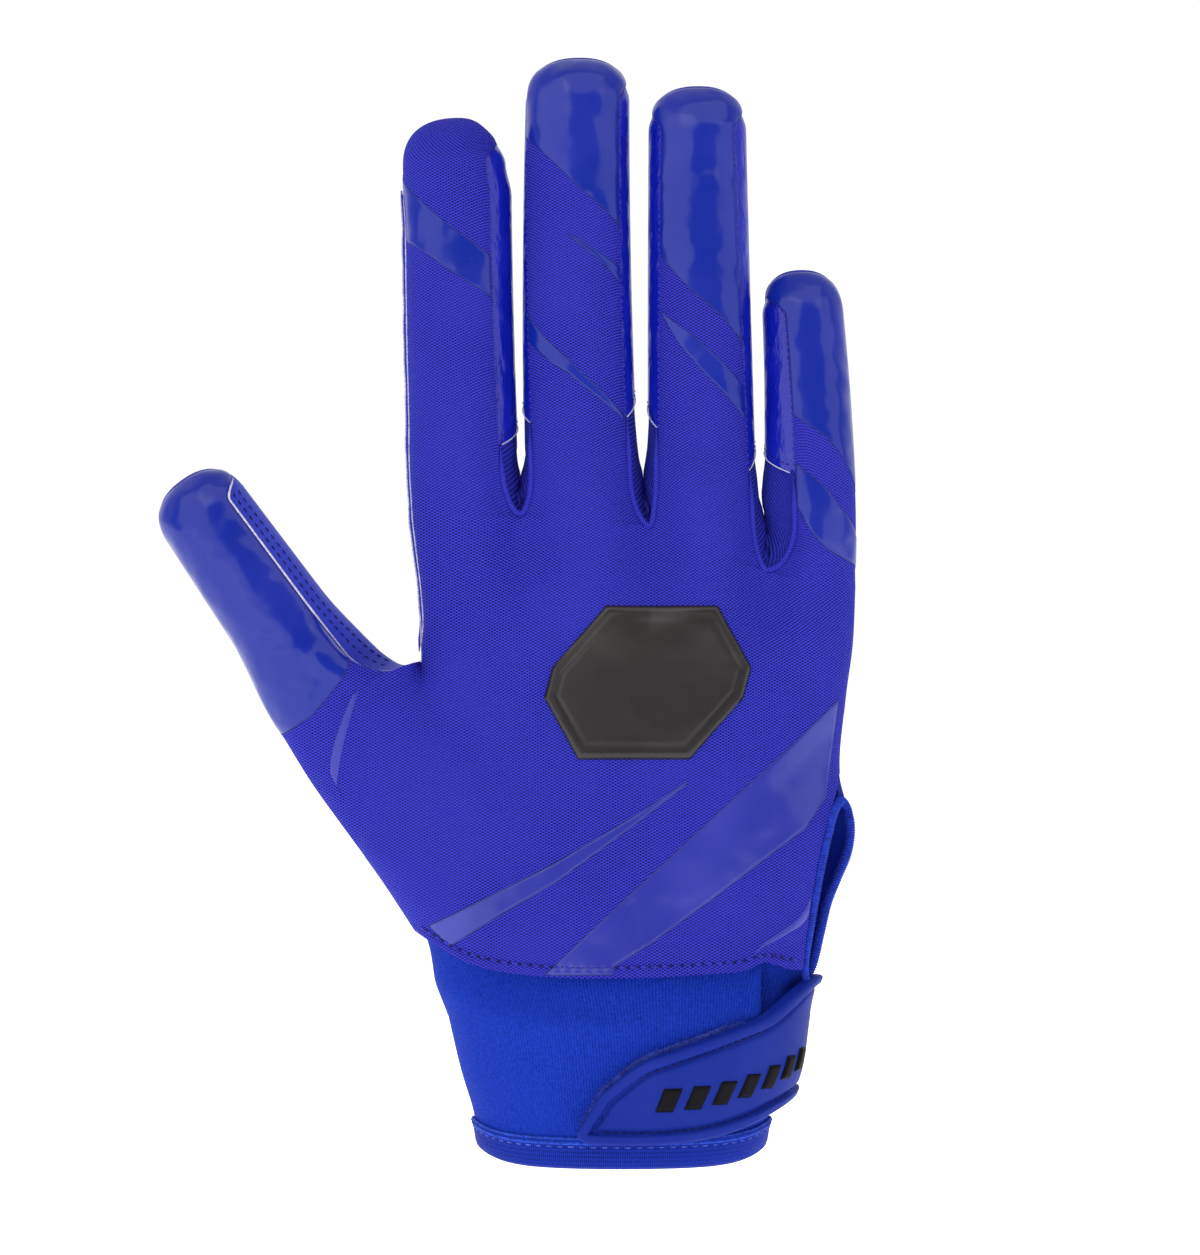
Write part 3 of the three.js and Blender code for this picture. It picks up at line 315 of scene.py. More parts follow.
class HandForm:
    """The hand below the fingers, the digits and the walls between them, as functions of shares."""

    def plane(self, side: Side, u: Array, v: Array) -> tuple[Array, Array]:
        """Across and upward place of column u (0 to 5) and row v (0 to 6).

        Each column is a curve up its rows and a second curve runs across the columns. Above the thumb
        fork the thumb edge fades out of that second curve. The palm is trimmed a little beside the vent.
        """
        u, v = np.broadcast_arrays(np.asarray(u, float), np.asarray(v, float))
        places = []
        for table, fork, size, base in (
            (BODY_X, PALM_FORK_X, HAND_WIDTH, 0.0),
            (BODY_Z, PALM_FORK_Z, PALM_LENGTH, CUFF_HEIGHT),
        ):
            rows = table if side is Side.BACK else np.vstack([table[:FINGER_ROW], fork])
            columns = [through(rows[: THUMB_ROW + 1, 0], v)]
            columns += [through(rows[:, i], v) for i in range(1, 6)]
            if side is Side.BACK and table is BODY_X:
                columns[5] = columns[5] - np.where(v < VENT_ROW, through(SLIT, v), 0)
            stack = np.stack(columns)
            whole = through(stack, u)
            beyond = through(stack[1:], u - 1)
            places.append(lerp(whole, beyond, smooth(v - THUMB_ROW)) * size + base)
        if side is Side.PALM:
            beside_vent = smooth(u - 4) * np.exp(-(((places[1] - PALM_TRIM_Z) / PALM_TRIM_REACH) ** 2))
            places[0] = places[0] - PALM_TRIM * beside_vent
        return places[0], places[1]

    def relief(self, side: Side, x: Array, z: Array) -> Array:
        """Folds of the cloth over the hand, in millimetres outwards."""
        creases = BACK_CREASES if side is Side.BACK else PALM_CREASES
        return sum(crease.height * ridge(x, z, crease.line, crease.width) for crease in creases)

    def body(self, side: Side, u: Array, v: Array) -> Array:
        """Point of the hand: the planar place, raised by the hand's lobe joined with the thumb's.

        The two lobes part at the thumb fork. Valleys lead down from the finger forks, the knuckles stand
        a little higher, and folds lie over all of it.
        """
        u, v = np.broadcast_arrays(np.asarray(u, float), np.asarray(v, float))
        x, z = self.plane(side, u, v)
        is_back = side is Side.BACK
        depth = HAND_DEPTH * through(BACK_DEPTH if is_back else PALM_DEPTH, v)
        middle = HAND_DEPTH * through(MIDDLE, v)
        right = self.plane(Side.PALM, np.full_like(u, 5), v)[0]
        fork = self.plane(Side.PALM, np.ones_like(u), v)[0]
        below = v <= THUMB_ROW
        edge = np.where(below, self.plane(Side.PALM, np.zeros_like(u), np.minimum(v, THUMB_ROW))[0], fork)
        joined = smooth((THUMB_ROW - v) / THUMB_BLEND_ROWS)
        left = lerp(fork, edge, joined)
        hand = lobe(2 * (x - left) / (right - left) - 1)
        height = depth * hand
        inner = lerp(fork, right, 0.5 * joined)
        thumb_depth = FINGER_DEPTH * 0.5 * DIGITS[0].depth[0] * (1.05 if is_back else 1.2)
        span = np.where(below, inner - edge, 1.0)
        thumb = thumb_depth * smooth((v - 0.6) / 2) * lobe(2 * (x - edge) / span - 1)
        height = np.where(below, (height**4 + thumb**4) ** 0.25, height)
        rise = smooth((v - 4.6) / 1.4)
        for border in (2, 3, 4):
            valley = VALLEY_DEPTH * np.exp(-(((u - border) / VALLEY_WIDTH) ** 2))
            height = height * (1 - rise * valley)
        if is_back:
            knuckle = KNUCKLE_RISE * np.exp(-(((v - KNUCKLE_ROW) / 0.5) ** 2))
            height = height * (1 + knuckle * np.abs(np.cos(np.pi * (u - 0.5))))
        height = height + self.relief(side, x, z) * smooth(height / 6)
        return np.stack([x, middle + np.where(is_back, -height, height), z], axis=-1)

    def column_share(self, side: Side, index: int, t: Array) -> Array:
        """Share across a digit's group for column share t, in the sine spacing of its section."""
        left, full = DIGITS[index].angles(side, np.array(0.0))
        right = full if abs(full - math.pi / 2) < 0.02 else min(full, math.radians(70))
        sine = np.sin(lerp(left, right, np.asarray(t, float)))
        return (sine - math.sin(left)) / (math.sin(right) - math.sin(left))

    def axis(self, index: int, height: Array) -> Array:
        """Centre line of a digit at heights above its root: leaning, bowed, and curling to the palm."""
        digit = DIGITS[index]
        share = np.clip(height / (digit.length * FINGER_LENGTH), 0, 1)
        lean = math.radians(digit.lean)
        sideways = digit.bow * HAND_WIDTH * 4 * share * (1 - share)
        return np.stack([
            digit.root_x * HAND_WIDTH + height * math.sin(lean) + sideways * math.cos(lean),
            HAND_DEPTH * 0.02 + digit.curl * FINGER_LENGTH * share**1.7,
            digit.root_z * PALM_LENGTH + CUFF_HEIGHT + height * math.cos(lean) - sideways * math.sin(lean),
        ], axis=-1)

    def seam_share(self, right: bool, k: Array) -> Array:
        """Column share of a digit's right or left seam, at as many lines as k has."""
        return np.full(np.shape(k), 1.0 if right else 0.0)

    def foot(self, side: Side, index: int, t: Array) -> tuple[Array, Array, Array]:
        """Where a digit's columns leave the hand: the points, and their height and reach from the root."""
        digit = DIGITS[index]
        lean = math.radians(digit.lean)
        row = THUMB_ROW if index == 0 else FINGER_ROW
        start = self.body(side, index + self.column_share(side, index, t), np.full(np.shape(t), float(row)))
        offset = start - self.axis(index, np.zeros(1))[0]
        up = offset[..., 0] * math.sin(lean) + offset[..., 2] * math.cos(lean)
        across = offset[..., 0] * math.cos(lean) - offset[..., 2] * math.sin(lean)
        return start, up, across

    def digit(self, side: Side, index: int, t: Array, k: Array, outline: bool = False) -> Array:
        """Point of a digit: t across from seam to seam, k up the straight part (0 to 1) and the tip (1 to 2).

        The section is a half ellipse between its seam angles. At the tip a square is mapped to a disc
        and swollen to a squircle. Near the hand the section opens out of the fork on a quarter circle.
        """
        digit = DIGITS[index]
        t, k = np.broadcast_arrays(np.asarray(t, float), np.asarray(k, float))
        lean = math.radians(digit.lean)
        share = np.clip(k, 0, 1)
        q = np.clip(k - 1, 0, 1)
        left, right = (lerp(seam, edge, smooth(q / 0.84)) for seam, edge in
                       zip(digit.angles(side, share), (-math.pi / 2, math.pi / 2)))
        angle = lerp(-math.pi / 2, math.pi / 2, t) if outline else lerp(left, right, t)
        lateral, up = self.squircle(index, share, q, np.sin(angle))
        start, start_up, start_across = self.foot(side, index, t)
        risen = (digit.shoulder - start_up) * share
        thick = FINGER_DEPTH * 0.5 * lerp(digit.depth[0], digit.depth[1], share)
        bulk = thick * np.cos(angle) * np.sqrt(1 - q * q)
        bulk = bulk + self.finger_folds(side, index, risen, up, angle)
        depth = np.where(side is Side.BACK, -bulk, bulk)
        height = lerp(start_up, digit.shoulder, share) + up
        near_fork = np.maximum(digit.forks[0] * (1 - t) ** 3, digit.forks[1] * t**3)
        opened = lerp(smooth(risen / FORK_BLEND), arch(risen / FORK_OPENING), near_fork)
        risen_share = np.clip(risen / FORK_BLEND, 0, 1)
        deep = lerp(smooth(risen_share), risen_share, 0.25)
        axis = self.axis(index, height)
        across = lerp(start_across, lateral, opened)
        return np.stack([
            axis[..., 0] + across * math.cos(lean),
            lerp(start[..., 1], axis[..., 1] + depth, deep),
            axis[..., 2] - across * math.sin(lean),
        ], axis=-1)

    def squircle(self, index: int, share: Array, q: Array, p: Array) -> tuple[Array, Array]:
        """Place across a digit and above its shoulder, for p across (-1 to 1) and q up the tip (0 to 1)."""
        digit = DIGITS[index]
        half = HAND_WIDTH * lerp(digit.width[0], digit.width[1], share)
        disc_x = p * np.sqrt(1 - q * q / 2)
        disc_z = q * np.sqrt(1 - p * p / 2)
        radius = np.minimum(1, np.hypot(disc_x, disc_z))
        turn = np.arctan2(disc_z, disc_x)
        powers = np.abs(np.cos(turn)) ** SQUIRCLE + np.abs(np.sin(turn)) ** SQUIRCLE
        square = powers ** (-1 / SQUIRCLE)
        swell = lerp(1, square, np.where(q > 0, radius**2, 0))
        lateral = half * disc_x * swell
        up = DOME_LENGTH * disc_z * swell
        if index == 1:
            tip = smooth((share - 0.90) / 0.1) * (0.45 + 0.55 * q)
            straight = smooth(share / 0.3) * (1 - smooth((share - 0.8) / 0.2))
            lateral = lateral - INDEX_TIP_TRIM * np.maximum(0, p) * tip
            lateral = lateral + INDEX_SIDE_TRIM * np.maximum(0, -p) * straight
        return lateral, up

    def finger_folds(self, side: Side, index: int, risen: Array, up: Array, angle: Array) -> Array:
        """Flexion folds: grooves across the palm side and faint waves on the back, in millimetres."""
        length = DIGITS[index].length * FINGER_LENGTH
        share = (risen + up) / length
        facing = np.clip(np.cos(angle), 0, 1) ** 1.5
        if side is Side.PALM:
            joints = THUMB_JOINTS if index == 0 else FINGER_JOINTS
            grooves = sum(np.exp(-(((share - joint) * length / 0.9) ** 2)) for joint in joints)
            pads = sum(np.exp(-(((share - pad) * length / 7.0) ** 2)) for pad in FINGER_PADS)
            return facing * (0.35 * pads - 0.65 * grooves)
        phase = 1.7 * index
        wave = np.sin(2 * np.pi * share * 2.3 + phase) * np.sin(angle * 1.4 + phase)
        return facing * 0.18 * wave * smooth(risen / 14)

    def digit_normal(self, side: Side, index: int, t: Array, k: Array) -> Array:
        """Outward direction of a panel on a digit."""
        t0 = np.clip(t, NORMAL_STEP, 1 - NORMAL_STEP)
        k0 = np.clip(k, 0.03, 1.8)
        return panel_normal(side, lambda u, v: self.digit(side, index, u, v), t0, k0)

    def folded_edge(self, body: Array, foot_z: Array) -> Array:
        """Back panel's points near its lower edge, folded double: raised below the stitch line.

        A groove runs where the stitches pull the fold down. The edge rises in a small wave by the pleat.
        """
        above = body[..., 2] - foot_z
        near = smooth(1 - above / 6)
        lip = 0.34 * (1 - smooth((above - 1.9) / 0.9))
        groove = 0.34 * np.exp(-(((above - SEAM_RISE) / 0.36) ** 2))
        wave = 1.9 * np.exp(-(((body[..., 0] - FOLD_WAVE_X) / 3.6) ** 2))
        pucker = np.cos(body[..., 0] * 2 * np.pi / SEAM_PITCH) * np.exp(-(((above - 1.6) / 0.9) ** 2))
        moved = body.copy()
        moved[..., 1] -= (lip - groove + 0.10 * pucker) * near
        moved[..., 2] += wave * near
        return moved

    def body_normal(self, side: Side, u: Array, v: Array) -> Array:
        """Outward direction of a panel over the hand."""
        u0 = np.clip(u, 0.1, 4.97)
        v0 = np.clip(v, NORMAL_STEP, 5.97)
        return panel_normal(side, lambda a, b: self.body(side, a, b), u0, v0)

    def find(self, x: Array, z: Array) -> tuple[Array, Array]:
        """Column and row of the back panel under planar places, by Newton steps."""
        u = np.clip(3 + x / HAND_WIDTH / 0.25, 1, 4.95)
        v = np.clip((z - CUFF_HEIGHT) / PALM_LENGTH / 0.16, 0.05, 5.9)
        step = 0.01
        for _ in range(16):
            here = self.plane(Side.BACK, u, v)
            by_u = self.plane(Side.BACK, u + step, v)
            by_v = self.plane(Side.BACK, u, v + step)
            a, b = (by_u[0] - here[0]) / step, (by_v[0] - here[0]) / step
            c, d = (by_u[1] - here[1]) / step, (by_v[1] - here[1]) / step
            miss_x, miss_z = x - here[0], z - here[1]
            det = a * d - b * c
            u = np.clip(u + (d * miss_x - b * miss_z) / det, 0.2, 4.985)
            v = np.clip(v + (a * miss_z - c * miss_x) / det, 0.03, 5.95)
        return u, v

    def share_at_height(self, index: int, t: Array, height: Array) -> Array:
        """The k of a digit's back panel at a height above the digit's root."""
        shoulder = DIGITS[index].shoulder
        foot_up = self.foot(Side.BACK, index, t)[1]
        low = np.clip((height - foot_up) / (shoulder - foot_up), 0.012, 1)
        high = 1 + np.clip((height - shoulder) / DOME_LENGTH, 0, 0.985)
        return np.where(height <= shoulder, low, high)

    def wall_outward(self, index: int, right: bool, k: Array) -> Array:
        """Direction out of the finger into the fork beside side-wall lines k."""
        t = self.seam_share(right, k)
        low = np.maximum(0, k - 0.004)

        def middle(at: Array) -> Array:
            """Mean of the back and palm seams."""
            return self.digit(Side.BACK, index, t, at) + self.digit(Side.PALM, index, t, at)

        tangent = middle(low + 0.008) - middle(low)
        tangent[..., 1] = 0
        tangent = unit(tangent)
        turn = 1.0 if right else -1.0
        flat = np.stack([turn * tangent[..., 2], np.zeros_like(k), -turn * tangent[..., 0]], axis=-1)
        sideways = np.broadcast_to(np.array([turn, 0.0, 0.0]), flat.shape)
        return np.where((k > 1)[..., None], sideways, flat)

    def wall(self, index: int, right: bool, k: Array, w: Array, tuck: float,
             grow: Array | float = 0.0) -> Array:
        """Grid of a finger side wall: lines k up the finger, shares w from the back seam to the palm seam.

        Each line is a parabola between the two tucked seams whose crown reaches the finger's outline.

        Args:
            index: The digit.
            right: Whether it is the digit's right wall.
            k: Lines up the finger.
            w: Shares across the wall.
            tuck: How far both seams lie under the panels.
            grow: How far the whole wall is moved outwards.

        Returns:
            Points, lines by shares.
        """
        t = self.seam_share(right, k)
        back = self.digit(Side.BACK, index, t, k)
        palm = self.digit(Side.PALM, index, t, k)
        outward = self.wall_outward(index, right, k)
        rise = np.clip(k, 0, 1) * DIGITS[index].shoulder
        opened = smooth(rise / FORK_OPENING)
        middle = (back + palm) / 2
        outline = self.digit(Side.BACK, index, t, k, True)
        reach = np.sum((outline - middle) * outward, axis=-1)
        bulge = lerp(FORK_BULGE, reach, opened) + grow - 0.5 * smooth((k - 1.05) / 0.5)
        low = back - self.digit_normal(Side.BACK, index, t, k) * tuck
        high = palm - self.digit_normal(Side.PALM, index, t, k) * tuck
        crown = 2 * (middle + outward * bulge[..., None]) - 0.5 * low - 0.5 * high
        w = np.asarray(w, float)[None, :, None]
        return low[:, None] * (1 - w) ** 2 + crown[:, None] * 2 * w * (1 - w) + high[:, None] * w * w


CUFF_RINGS = np.array([
    [0.592, 0.385, 0.010, 0.78, 0.02],
    [0.558, 0.365, 0.018, 0.50, 0.03],
    [0.511, 0.350, 0.013, 0.26, 0.06],
    [0.490, 0.340, 0.012, 0.09, 0.06],
])
STRAP_ROWS = np.array([
    [-16, 0.225, 0.262], [-13, 0.198, 0.330], [-7.5, 0.190, 0.455], [5, 0.188, 0.605],
    [16, 0.192, 0.672], [28, 0.205, 0.732], [39, 0.232, 0.785], [50, 0.270, 0.840],
    [65, 0.330, 0.958], [78, 0.370, 1.018], [92, 0.390, 1.018], [115, 0.400, 0.985],
    [145, 0.390, 0.930], [176, 0.380, 0.900],
])


class CuffForm:
    """The stretch cuff as a function of the angle from the middle of the back and of height."""

    def __init__(self, hand: HandForm) -> None:
        """Keeps the hand, whose lower edge the cuff's top follows."""
        self.hand = hand

    def ring(self, angle: Array, ring: Array) -> Array:
        """Outside of the cuff at ring numbers from the top: an ellipse whose sides stand higher.

        The lift is a power of the sine, which turns steeper at the lowest ring.
        """
        half_width, half_depth, middle, height, lift = (through(CUFF_RINGS[:, i], ring) for i in range(5))
        power = lerp(2.0, 7.0, np.clip(ring - 2, 0, 1))
        return np.stack([
            (half_width * np.sin(angle) + middle) * WRIST_WIDTH,
            -half_depth * WRIST_WIDTH * np.cos(angle),
            (height + lift * np.abs(np.sin(angle)) ** power) * CUFF_HEIGHT,
        ], axis=-1)

    def ring_at(self, angle: Array, z: Array) -> Array:
        """Ring number at heights."""
        last = len(CUFF_RINGS) - 1.0
        return halving(np.shape(z), last, lambda ring: self.ring(angle, ring)[..., 2] > z)

    def outward(self, angle: Array) -> Array:
        """Level direction away from the wrist."""
        ring = CUFF_RINGS[2]
        level = [np.sin(angle) / ring[0], -np.cos(angle) / ring[1], np.zeros_like(angle)]
        return unit(np.stack(level, axis=-1))

    def foot(self, angle: Array) -> Array:
        """Lower edge of the hand panels at angles, as if the vent were shut."""
        hand = self.hand
        left = hand.plane(Side.PALM, 0.0, 0.0)[0]
        right = hand.plane(Side.PALM, 5.0, 0.0)[0]
        x = lerp(left, right, (np.sin(angle) + 1) / 2)
        column = halving(np.shape(x), 5.0, lambda u: hand.plane(Side.PALM, u, 0.0)[0] < x)
        point = hand.body(Side.PALM, column, np.zeros(np.shape(x)))
        depth = HAND_DEPTH * PALM_DEPTH[0] * np.abs(np.cos(angle))
        point[..., 1] = np.where(np.cos(angle) >= 0, -depth, depth)
        return point

    def surface(self, angle: Array, z: Array) -> Array:
        """Outside of the cuff at angles and heights, flaring out to the panels above its top ring."""
        angle, z = np.broadcast_arrays(np.asarray(angle, float), np.asarray(z, float))
        top = self.ring(angle, np.zeros(angle.shape))
        foot = self.foot(angle)
        lower = self.ring(angle, self.ring_at(angle, z))
        share = np.clip((z - top[..., 2]) / (foot[..., 2] - top[..., 2]), 0, 1) ** 1.5
        upper = lerp(top, foot, share[..., None])
        return np.where((z <= top[..., 2])[..., None], lower, upper)

    def strap_edges(self, angle: Array) -> tuple[Array, Array]:
        """Heights of the strap's lower and upper edges at angles."""
        degrees = np.degrees(angle)
        low = along_table(STRAP_ROWS[:, 0], STRAP_ROWS[:, 1], degrees) * CUFF_HEIGHT
        high = along_table(STRAP_ROWS[:, 0], STRAP_ROWS[:, 2], degrees) * CUFF_HEIGHT
        return low, high


@dataclass
class Patch:
    """Surface of four-cornered cells, with cloth coordinates in millimetres at every cell corner."""

    points: Array
    cells: Array
    cloth: Array
    caps: list[Array] = field(default_factory=list)

    @staticmethod
    def grid(points: Array, cloth: Array | None = None, closed: bool = False) -> "Patch":
        """Cells over rows and columns of points.

        Args:
            points: Rows by columns by three.
            cloth: Rows by columns by two, one column more if closed, or None for the distances.
            closed: Whether the last column joins the first.

        Returns:
            The patch.
        """
        rows, columns = points.shape[:2]
        if cloth is None:
            whole = np.concatenate([points, points[:, :1]], axis=1) if closed else points
            cloth = np.stack([arc_length(np.swapaxes(whole, 0, 1)).T, arc_length(whole)], axis=-1)
        r = np.arange(rows - 1)[:, None]
        c = np.arange(columns if closed else columns - 1)[None, :]
        n = (c + 1) % columns
        corners = (r * columns + c, r * columns + n, (r + 1) * columns + n, (r + 1) * columns + c)
        cells = np.stack([np.broadcast_to(i, (rows - 1, c.size)) for i in corners], axis=-1)
        kept = np.stack([cloth[r, c], cloth[r, c + 1], cloth[r + 1, c + 1], cloth[r + 1, c]], axis=-2)
        return Patch(points.reshape(-1, 3), cells.reshape(-1, 4), kept.reshape(-1, 4, 2))

    @staticmethod
    def joined(patches: Sequence["Patch"]) -> "Patch":
        """Several patches as one."""
        starts = np.cumsum([0] + [len(patch.points) for patch in patches[:-1]])
        return Patch(
            np.concatenate([patch.points for patch in patches]),
            np.concatenate([patch.cells + start for patch, start in zip(patches, starts)]),
            np.concatenate([patch.cloth for patch in patches]),
            [cap + start for patch, start in zip(patches, starts) for cap in patch.caps],
        )

    def flipped(self) -> "Patch":
        """The same surface facing the other way."""
        caps = [cap[::-1] for cap in self.caps]
        return Patch(self.points, self.cells[:, ::-1], self.cloth[:, ::-1], caps)

    def welded(self) -> "Patch":
        """Points closer than a thousandth of a millimetre become one."""
        keys = np.round(self.points * 500).astype(np.int64)
        _, first, back = np.unique(keys, axis=0, return_index=True, return_inverse=True)
        back = back.reshape(-1)
        return Patch(self.points[first], back[self.cells], self.cloth)

    def normals(self) -> Array:
        """Mean outward direction at each point, from the diagonals of its cells."""
        a, b, c, d = (self.points[self.cells[:, i]] for i in range(4))
        faces = np.cross(c - a, d - b)
        sums = np.zeros_like(self.points)
        for i in range(4):
            np.add.at(sums, self.cells[:, i], faces)
        return unit(sums)

    def border_corners(self) -> Array:
        """Flat corner numbers of the edges with a cell on one side only, as that cell runs."""
        corner = np.arange(self.cells.size).reshape(-1, 4)
        starts = self.cells.reshape(-1)
        ends = np.roll(self.cells, -1, axis=1).reshape(-1)
        count = len(self.points)
        alone = ~np.isin(starts * count + ends, ends * count + starts)
        return np.stack([corner.reshape(-1)[alone], np.roll(corner, -1, axis=1).reshape(-1)[alone]], axis=-1)

    def border(self) -> Array:
        """Point numbers of the same edges."""
        return self.cells.reshape(-1)[self.border_corners()]

    def shell(self, wall: float, inward: Array | None = None, drop: float = 0.0) -> "Patch":
        """Closed solid of one wall thickness under this surface.

        Args:
            wall: The thickness.
            inward: Steps from outside to inside, or None for the thickness against the normals.
            drop: How far the outer border lies below the rest, which rounds the edge.

        Returns:
            The closed patch.
        """
        normals = self.normals()
        step = -normals * wall if inward is None else inward
        edges = self.border()
        outer = self.points.copy()
        rim = np.unique(edges)
        outer[rim] -= normals[rim] * drop
        count = len(outer)
        inner_cells = self.cells[:, ::-1] + count
        a, b = edges[:, 0], edges[:, 1]
        sides = np.stack([b, a, a + count, b + count], axis=-1)
        side_cloth = self.cloth.reshape(-1, 2)[self.border_corners()][:, [1, 0, 0, 1]]
        return Patch(
            np.concatenate([outer, self.points + step]),
            np.concatenate([self.cells, inner_cells, sides]),
            np.concatenate([self.cloth, self.cloth[:, ::-1], side_cloth]),
        )

    def raised(self, step: Array, top: Array, sunk: float = 0.0) -> "Patch":
        """Closed solid from heights top over this surface, along step, to sunk below it."""
        outer = Patch(self.points + step * top[:, None], self.cells, self.cloth)
        return outer.shell(1.0, -step * (top[:, None] + sunk))

    def edge_distance(self) -> Array:
        """Distance of each point from the nearest border point."""
        rim = self.points[np.unique(self.border())]
        nearest = np.full(len(self.points), 1e9)
        for block in np.array_split(np.arange(len(self.points)), max(1, len(self.points) // 2000)):
            gaps = self.points[block][:, None] - rim[None]
            nearest[block] = np.sqrt(np.min(np.sum(gaps * gaps, axis=-1), axis=1))
        return nearest

    def volume(self) -> float:
        """Signed volume inside a closed patch."""
        a, b, c, d = (self.points[self.cells[:, i]] for i in range(4))
        total = np.sum(a * np.cross(b, c)) + np.sum(a * np.cross(c, d))
        for cap in self.caps:
            ring = self.points[cap]
            total += np.sum(ring[0] * np.cross(ring[1:-1], ring[2:]))
        return float(total) / 6

    def to_object(self, name: str, crease_degrees: float = 55.0) -> bpy.types.Object:
        """Mesh object at the origin in metres, smooth but for sharp edges, with its cloth UV map."""
        patch = self if self.volume() >= 0 else self.flipped()
        loops = np.concatenate([patch.cells.reshape(-1), *patch.caps]).astype(np.int32)
        totals = np.array([4] * len(patch.cells) + [len(cap) for cap in patch.caps], np.int32)
        starts = np.concatenate([[0], np.cumsum(totals)[:-1]]).astype(np.int32)
        mesh = bpy.data.meshes.new(name)
        mesh.vertices.add(len(patch.points))
        mesh.vertices.foreach_set("co", (patch.points * METRES).astype(np.float32).ravel())
        mesh.loops.add(len(loops))
        mesh.loops.foreach_set("vertex_index", loops)
        mesh.polygons.add(len(totals))
        mesh.polygons.foreach_set("loop_start", starts)
        mesh.polygons.foreach_set("loop_total", totals)
        mesh.update(calc_edges=True)
        layer = mesh.uv_layers.new(name=CLOTH_UV)
        flat = np.zeros((len(loops), 2), np.float32)
        flat[: patch.cells.size] = patch.cloth.reshape(-1, 2)
        layer.data.foreach_set("uv", flat.ravel())
        mesh.validate()
        mesh.polygons.foreach_set("use_smooth", np.ones(len(mesh.polygons), bool))
        mesh.set_sharp_from_angle(angle=math.radians(crease_degrees))
        thing = bpy.data.objects.new(name, mesh)
        bpy.context.scene.collection.objects.link(thing)
        return thing


def sweep(path: Array, up: Array, profile: Array, size: Array | float = 1.0) -> Patch:
    """Carries a closed profile along an open path and caps both ends.

    Each ring is the profile in the plane of the across direction (path direction crossed with up) and up.

    Args:
        path: Points of the path.
        up: Direction at each point that the profile's second number follows.
        profile: Points of the profile, across and up, in order.
        size: Scale of the profile, one number or one for each point.

    Returns:
        The closed patch.
    """
    forward = unit(np.gradient(path, axis=0))
    across = unit(np.cross(forward, up))
    above = np.cross(across, forward)
    size = np.broadcast_to(np.asarray(size, float), (len(path),))[:, None, None]
    if profile.ndim == 2:
        profile = np.broadcast_to(profile, (len(path), *profile.shape))
    rings = path[:, None] + size * (
        across[:, None] * profile[..., :1] + above[:, None] * profile[..., 1:]
    )
    count = rings.shape[1]
    around = np.linspace(0, 1, count + 1) * np.linalg.norm(profile[0, 0]) * 2 * math.pi
    cloth = np.stack(np.broadcast_arrays(around[None], arc_length(path)[:, None]), axis=-1)
    patch = Patch.grid(rings, cloth, closed=True)
    last = (len(path) - 1) * count
    patch.caps = [np.arange(count)[::-1], last + np.arange(count)]
    return patch


def circle(points: int, radius: float, flatten: float = 1.0) -> Array:
    """Round profile, squeezed upwards by the share flatten."""
    turn = np.linspace(0, 2 * math.pi, points, endpoint=False)
    return np.stack([radius * np.cos(turn), radius * flatten * np.sin(turn)], axis=-1)


def bead() -> tuple[Array, Array]:
    """Ball of 24 cells: a cube's faces in quarters, pushed out to radius 1."""
    steps = np.linspace(-1, 1, 3)
    a, b = np.meshgrid(steps, steps, indexing="ij")
    one = np.ones_like(a)
    sheets = [(a, b, one), (b, a, -one), (one, a, b), (-one, b, a), (b, one, a), (a, -one, b)]
    patches = [Patch.grid(np.stack(sheet, axis=-1)) for sheet in sheets]
    ball = Patch.joined(patches).welded()
    return unit(ball.points), ball.cells


def spread_beads(places: Array, forward: Array, up: Array, size: tuple[float, float, float]) -> Patch:
    """Copies of the bead as one patch, each stretched along its own forward, across and up directions."""
    points, cells = bead()
    forward = unit(forward)
    across = unit(np.cross(forward, up))
    above = np.cross(across, forward)
    spots = places[:, None] + (
        forward[:, None] * points[None, :, :1] * size[0]
        + across[:, None] * points[None, :, 1:2] * size[1]
        + above[:, None] * points[None, :, 2:] * size[2]
    )
    starts = np.arange(len(places))[:, None, None] * len(points)
    every = (cells[None] + starts).reshape(-1, 4)
    return Patch(spots.reshape(-1, 3), every, np.zeros((len(every), 4, 2)))


def spaced(path: Array, extra: Array, pitch: float) -> tuple[Array, Array, Array]:
    """Even places along a path.

    Args:
        path: Points of the path.
        extra: Direction at each point, carried along.
        pitch: Distance between places.

    Returns:
        Places, path directions and the carried directions there.
    """
    length = arc_length(path)
    count = max(2, int(length[-1] / pitch))
    at = (np.arange(count) + 0.5) * length[-1] / count
    forward = unit(np.gradient(path, axis=0))

    def read(values: Array) -> Array:
        """Values along the path at the even places."""
        return np.stack([np.interp(at, length, values[:, i]) for i in range(3)], axis=-1)

    return read(path), unit(read(forward)), unit(read(extra))


def stitches(path: Array, up: Array, pitch: float, size: tuple[float, float, float]) -> Patch:
    """Beads at an even pitch along a path, with their half length, width and height."""
    return spread_beads(*spaced(path, up, pitch), size)


def binary(operation: str, swapped: bool = False) -> Callable[["Wire", Any], "Wire"]:
    """Operator of Wire that adds one Math node for itself and another value."""

    def method(wire: "Wire", other: Any) -> "Wire":
        """The node's result."""
        pair = (other, wire) if swapped else (wire, other)
        return wire.paint.maths(operation, *pair)

    return method


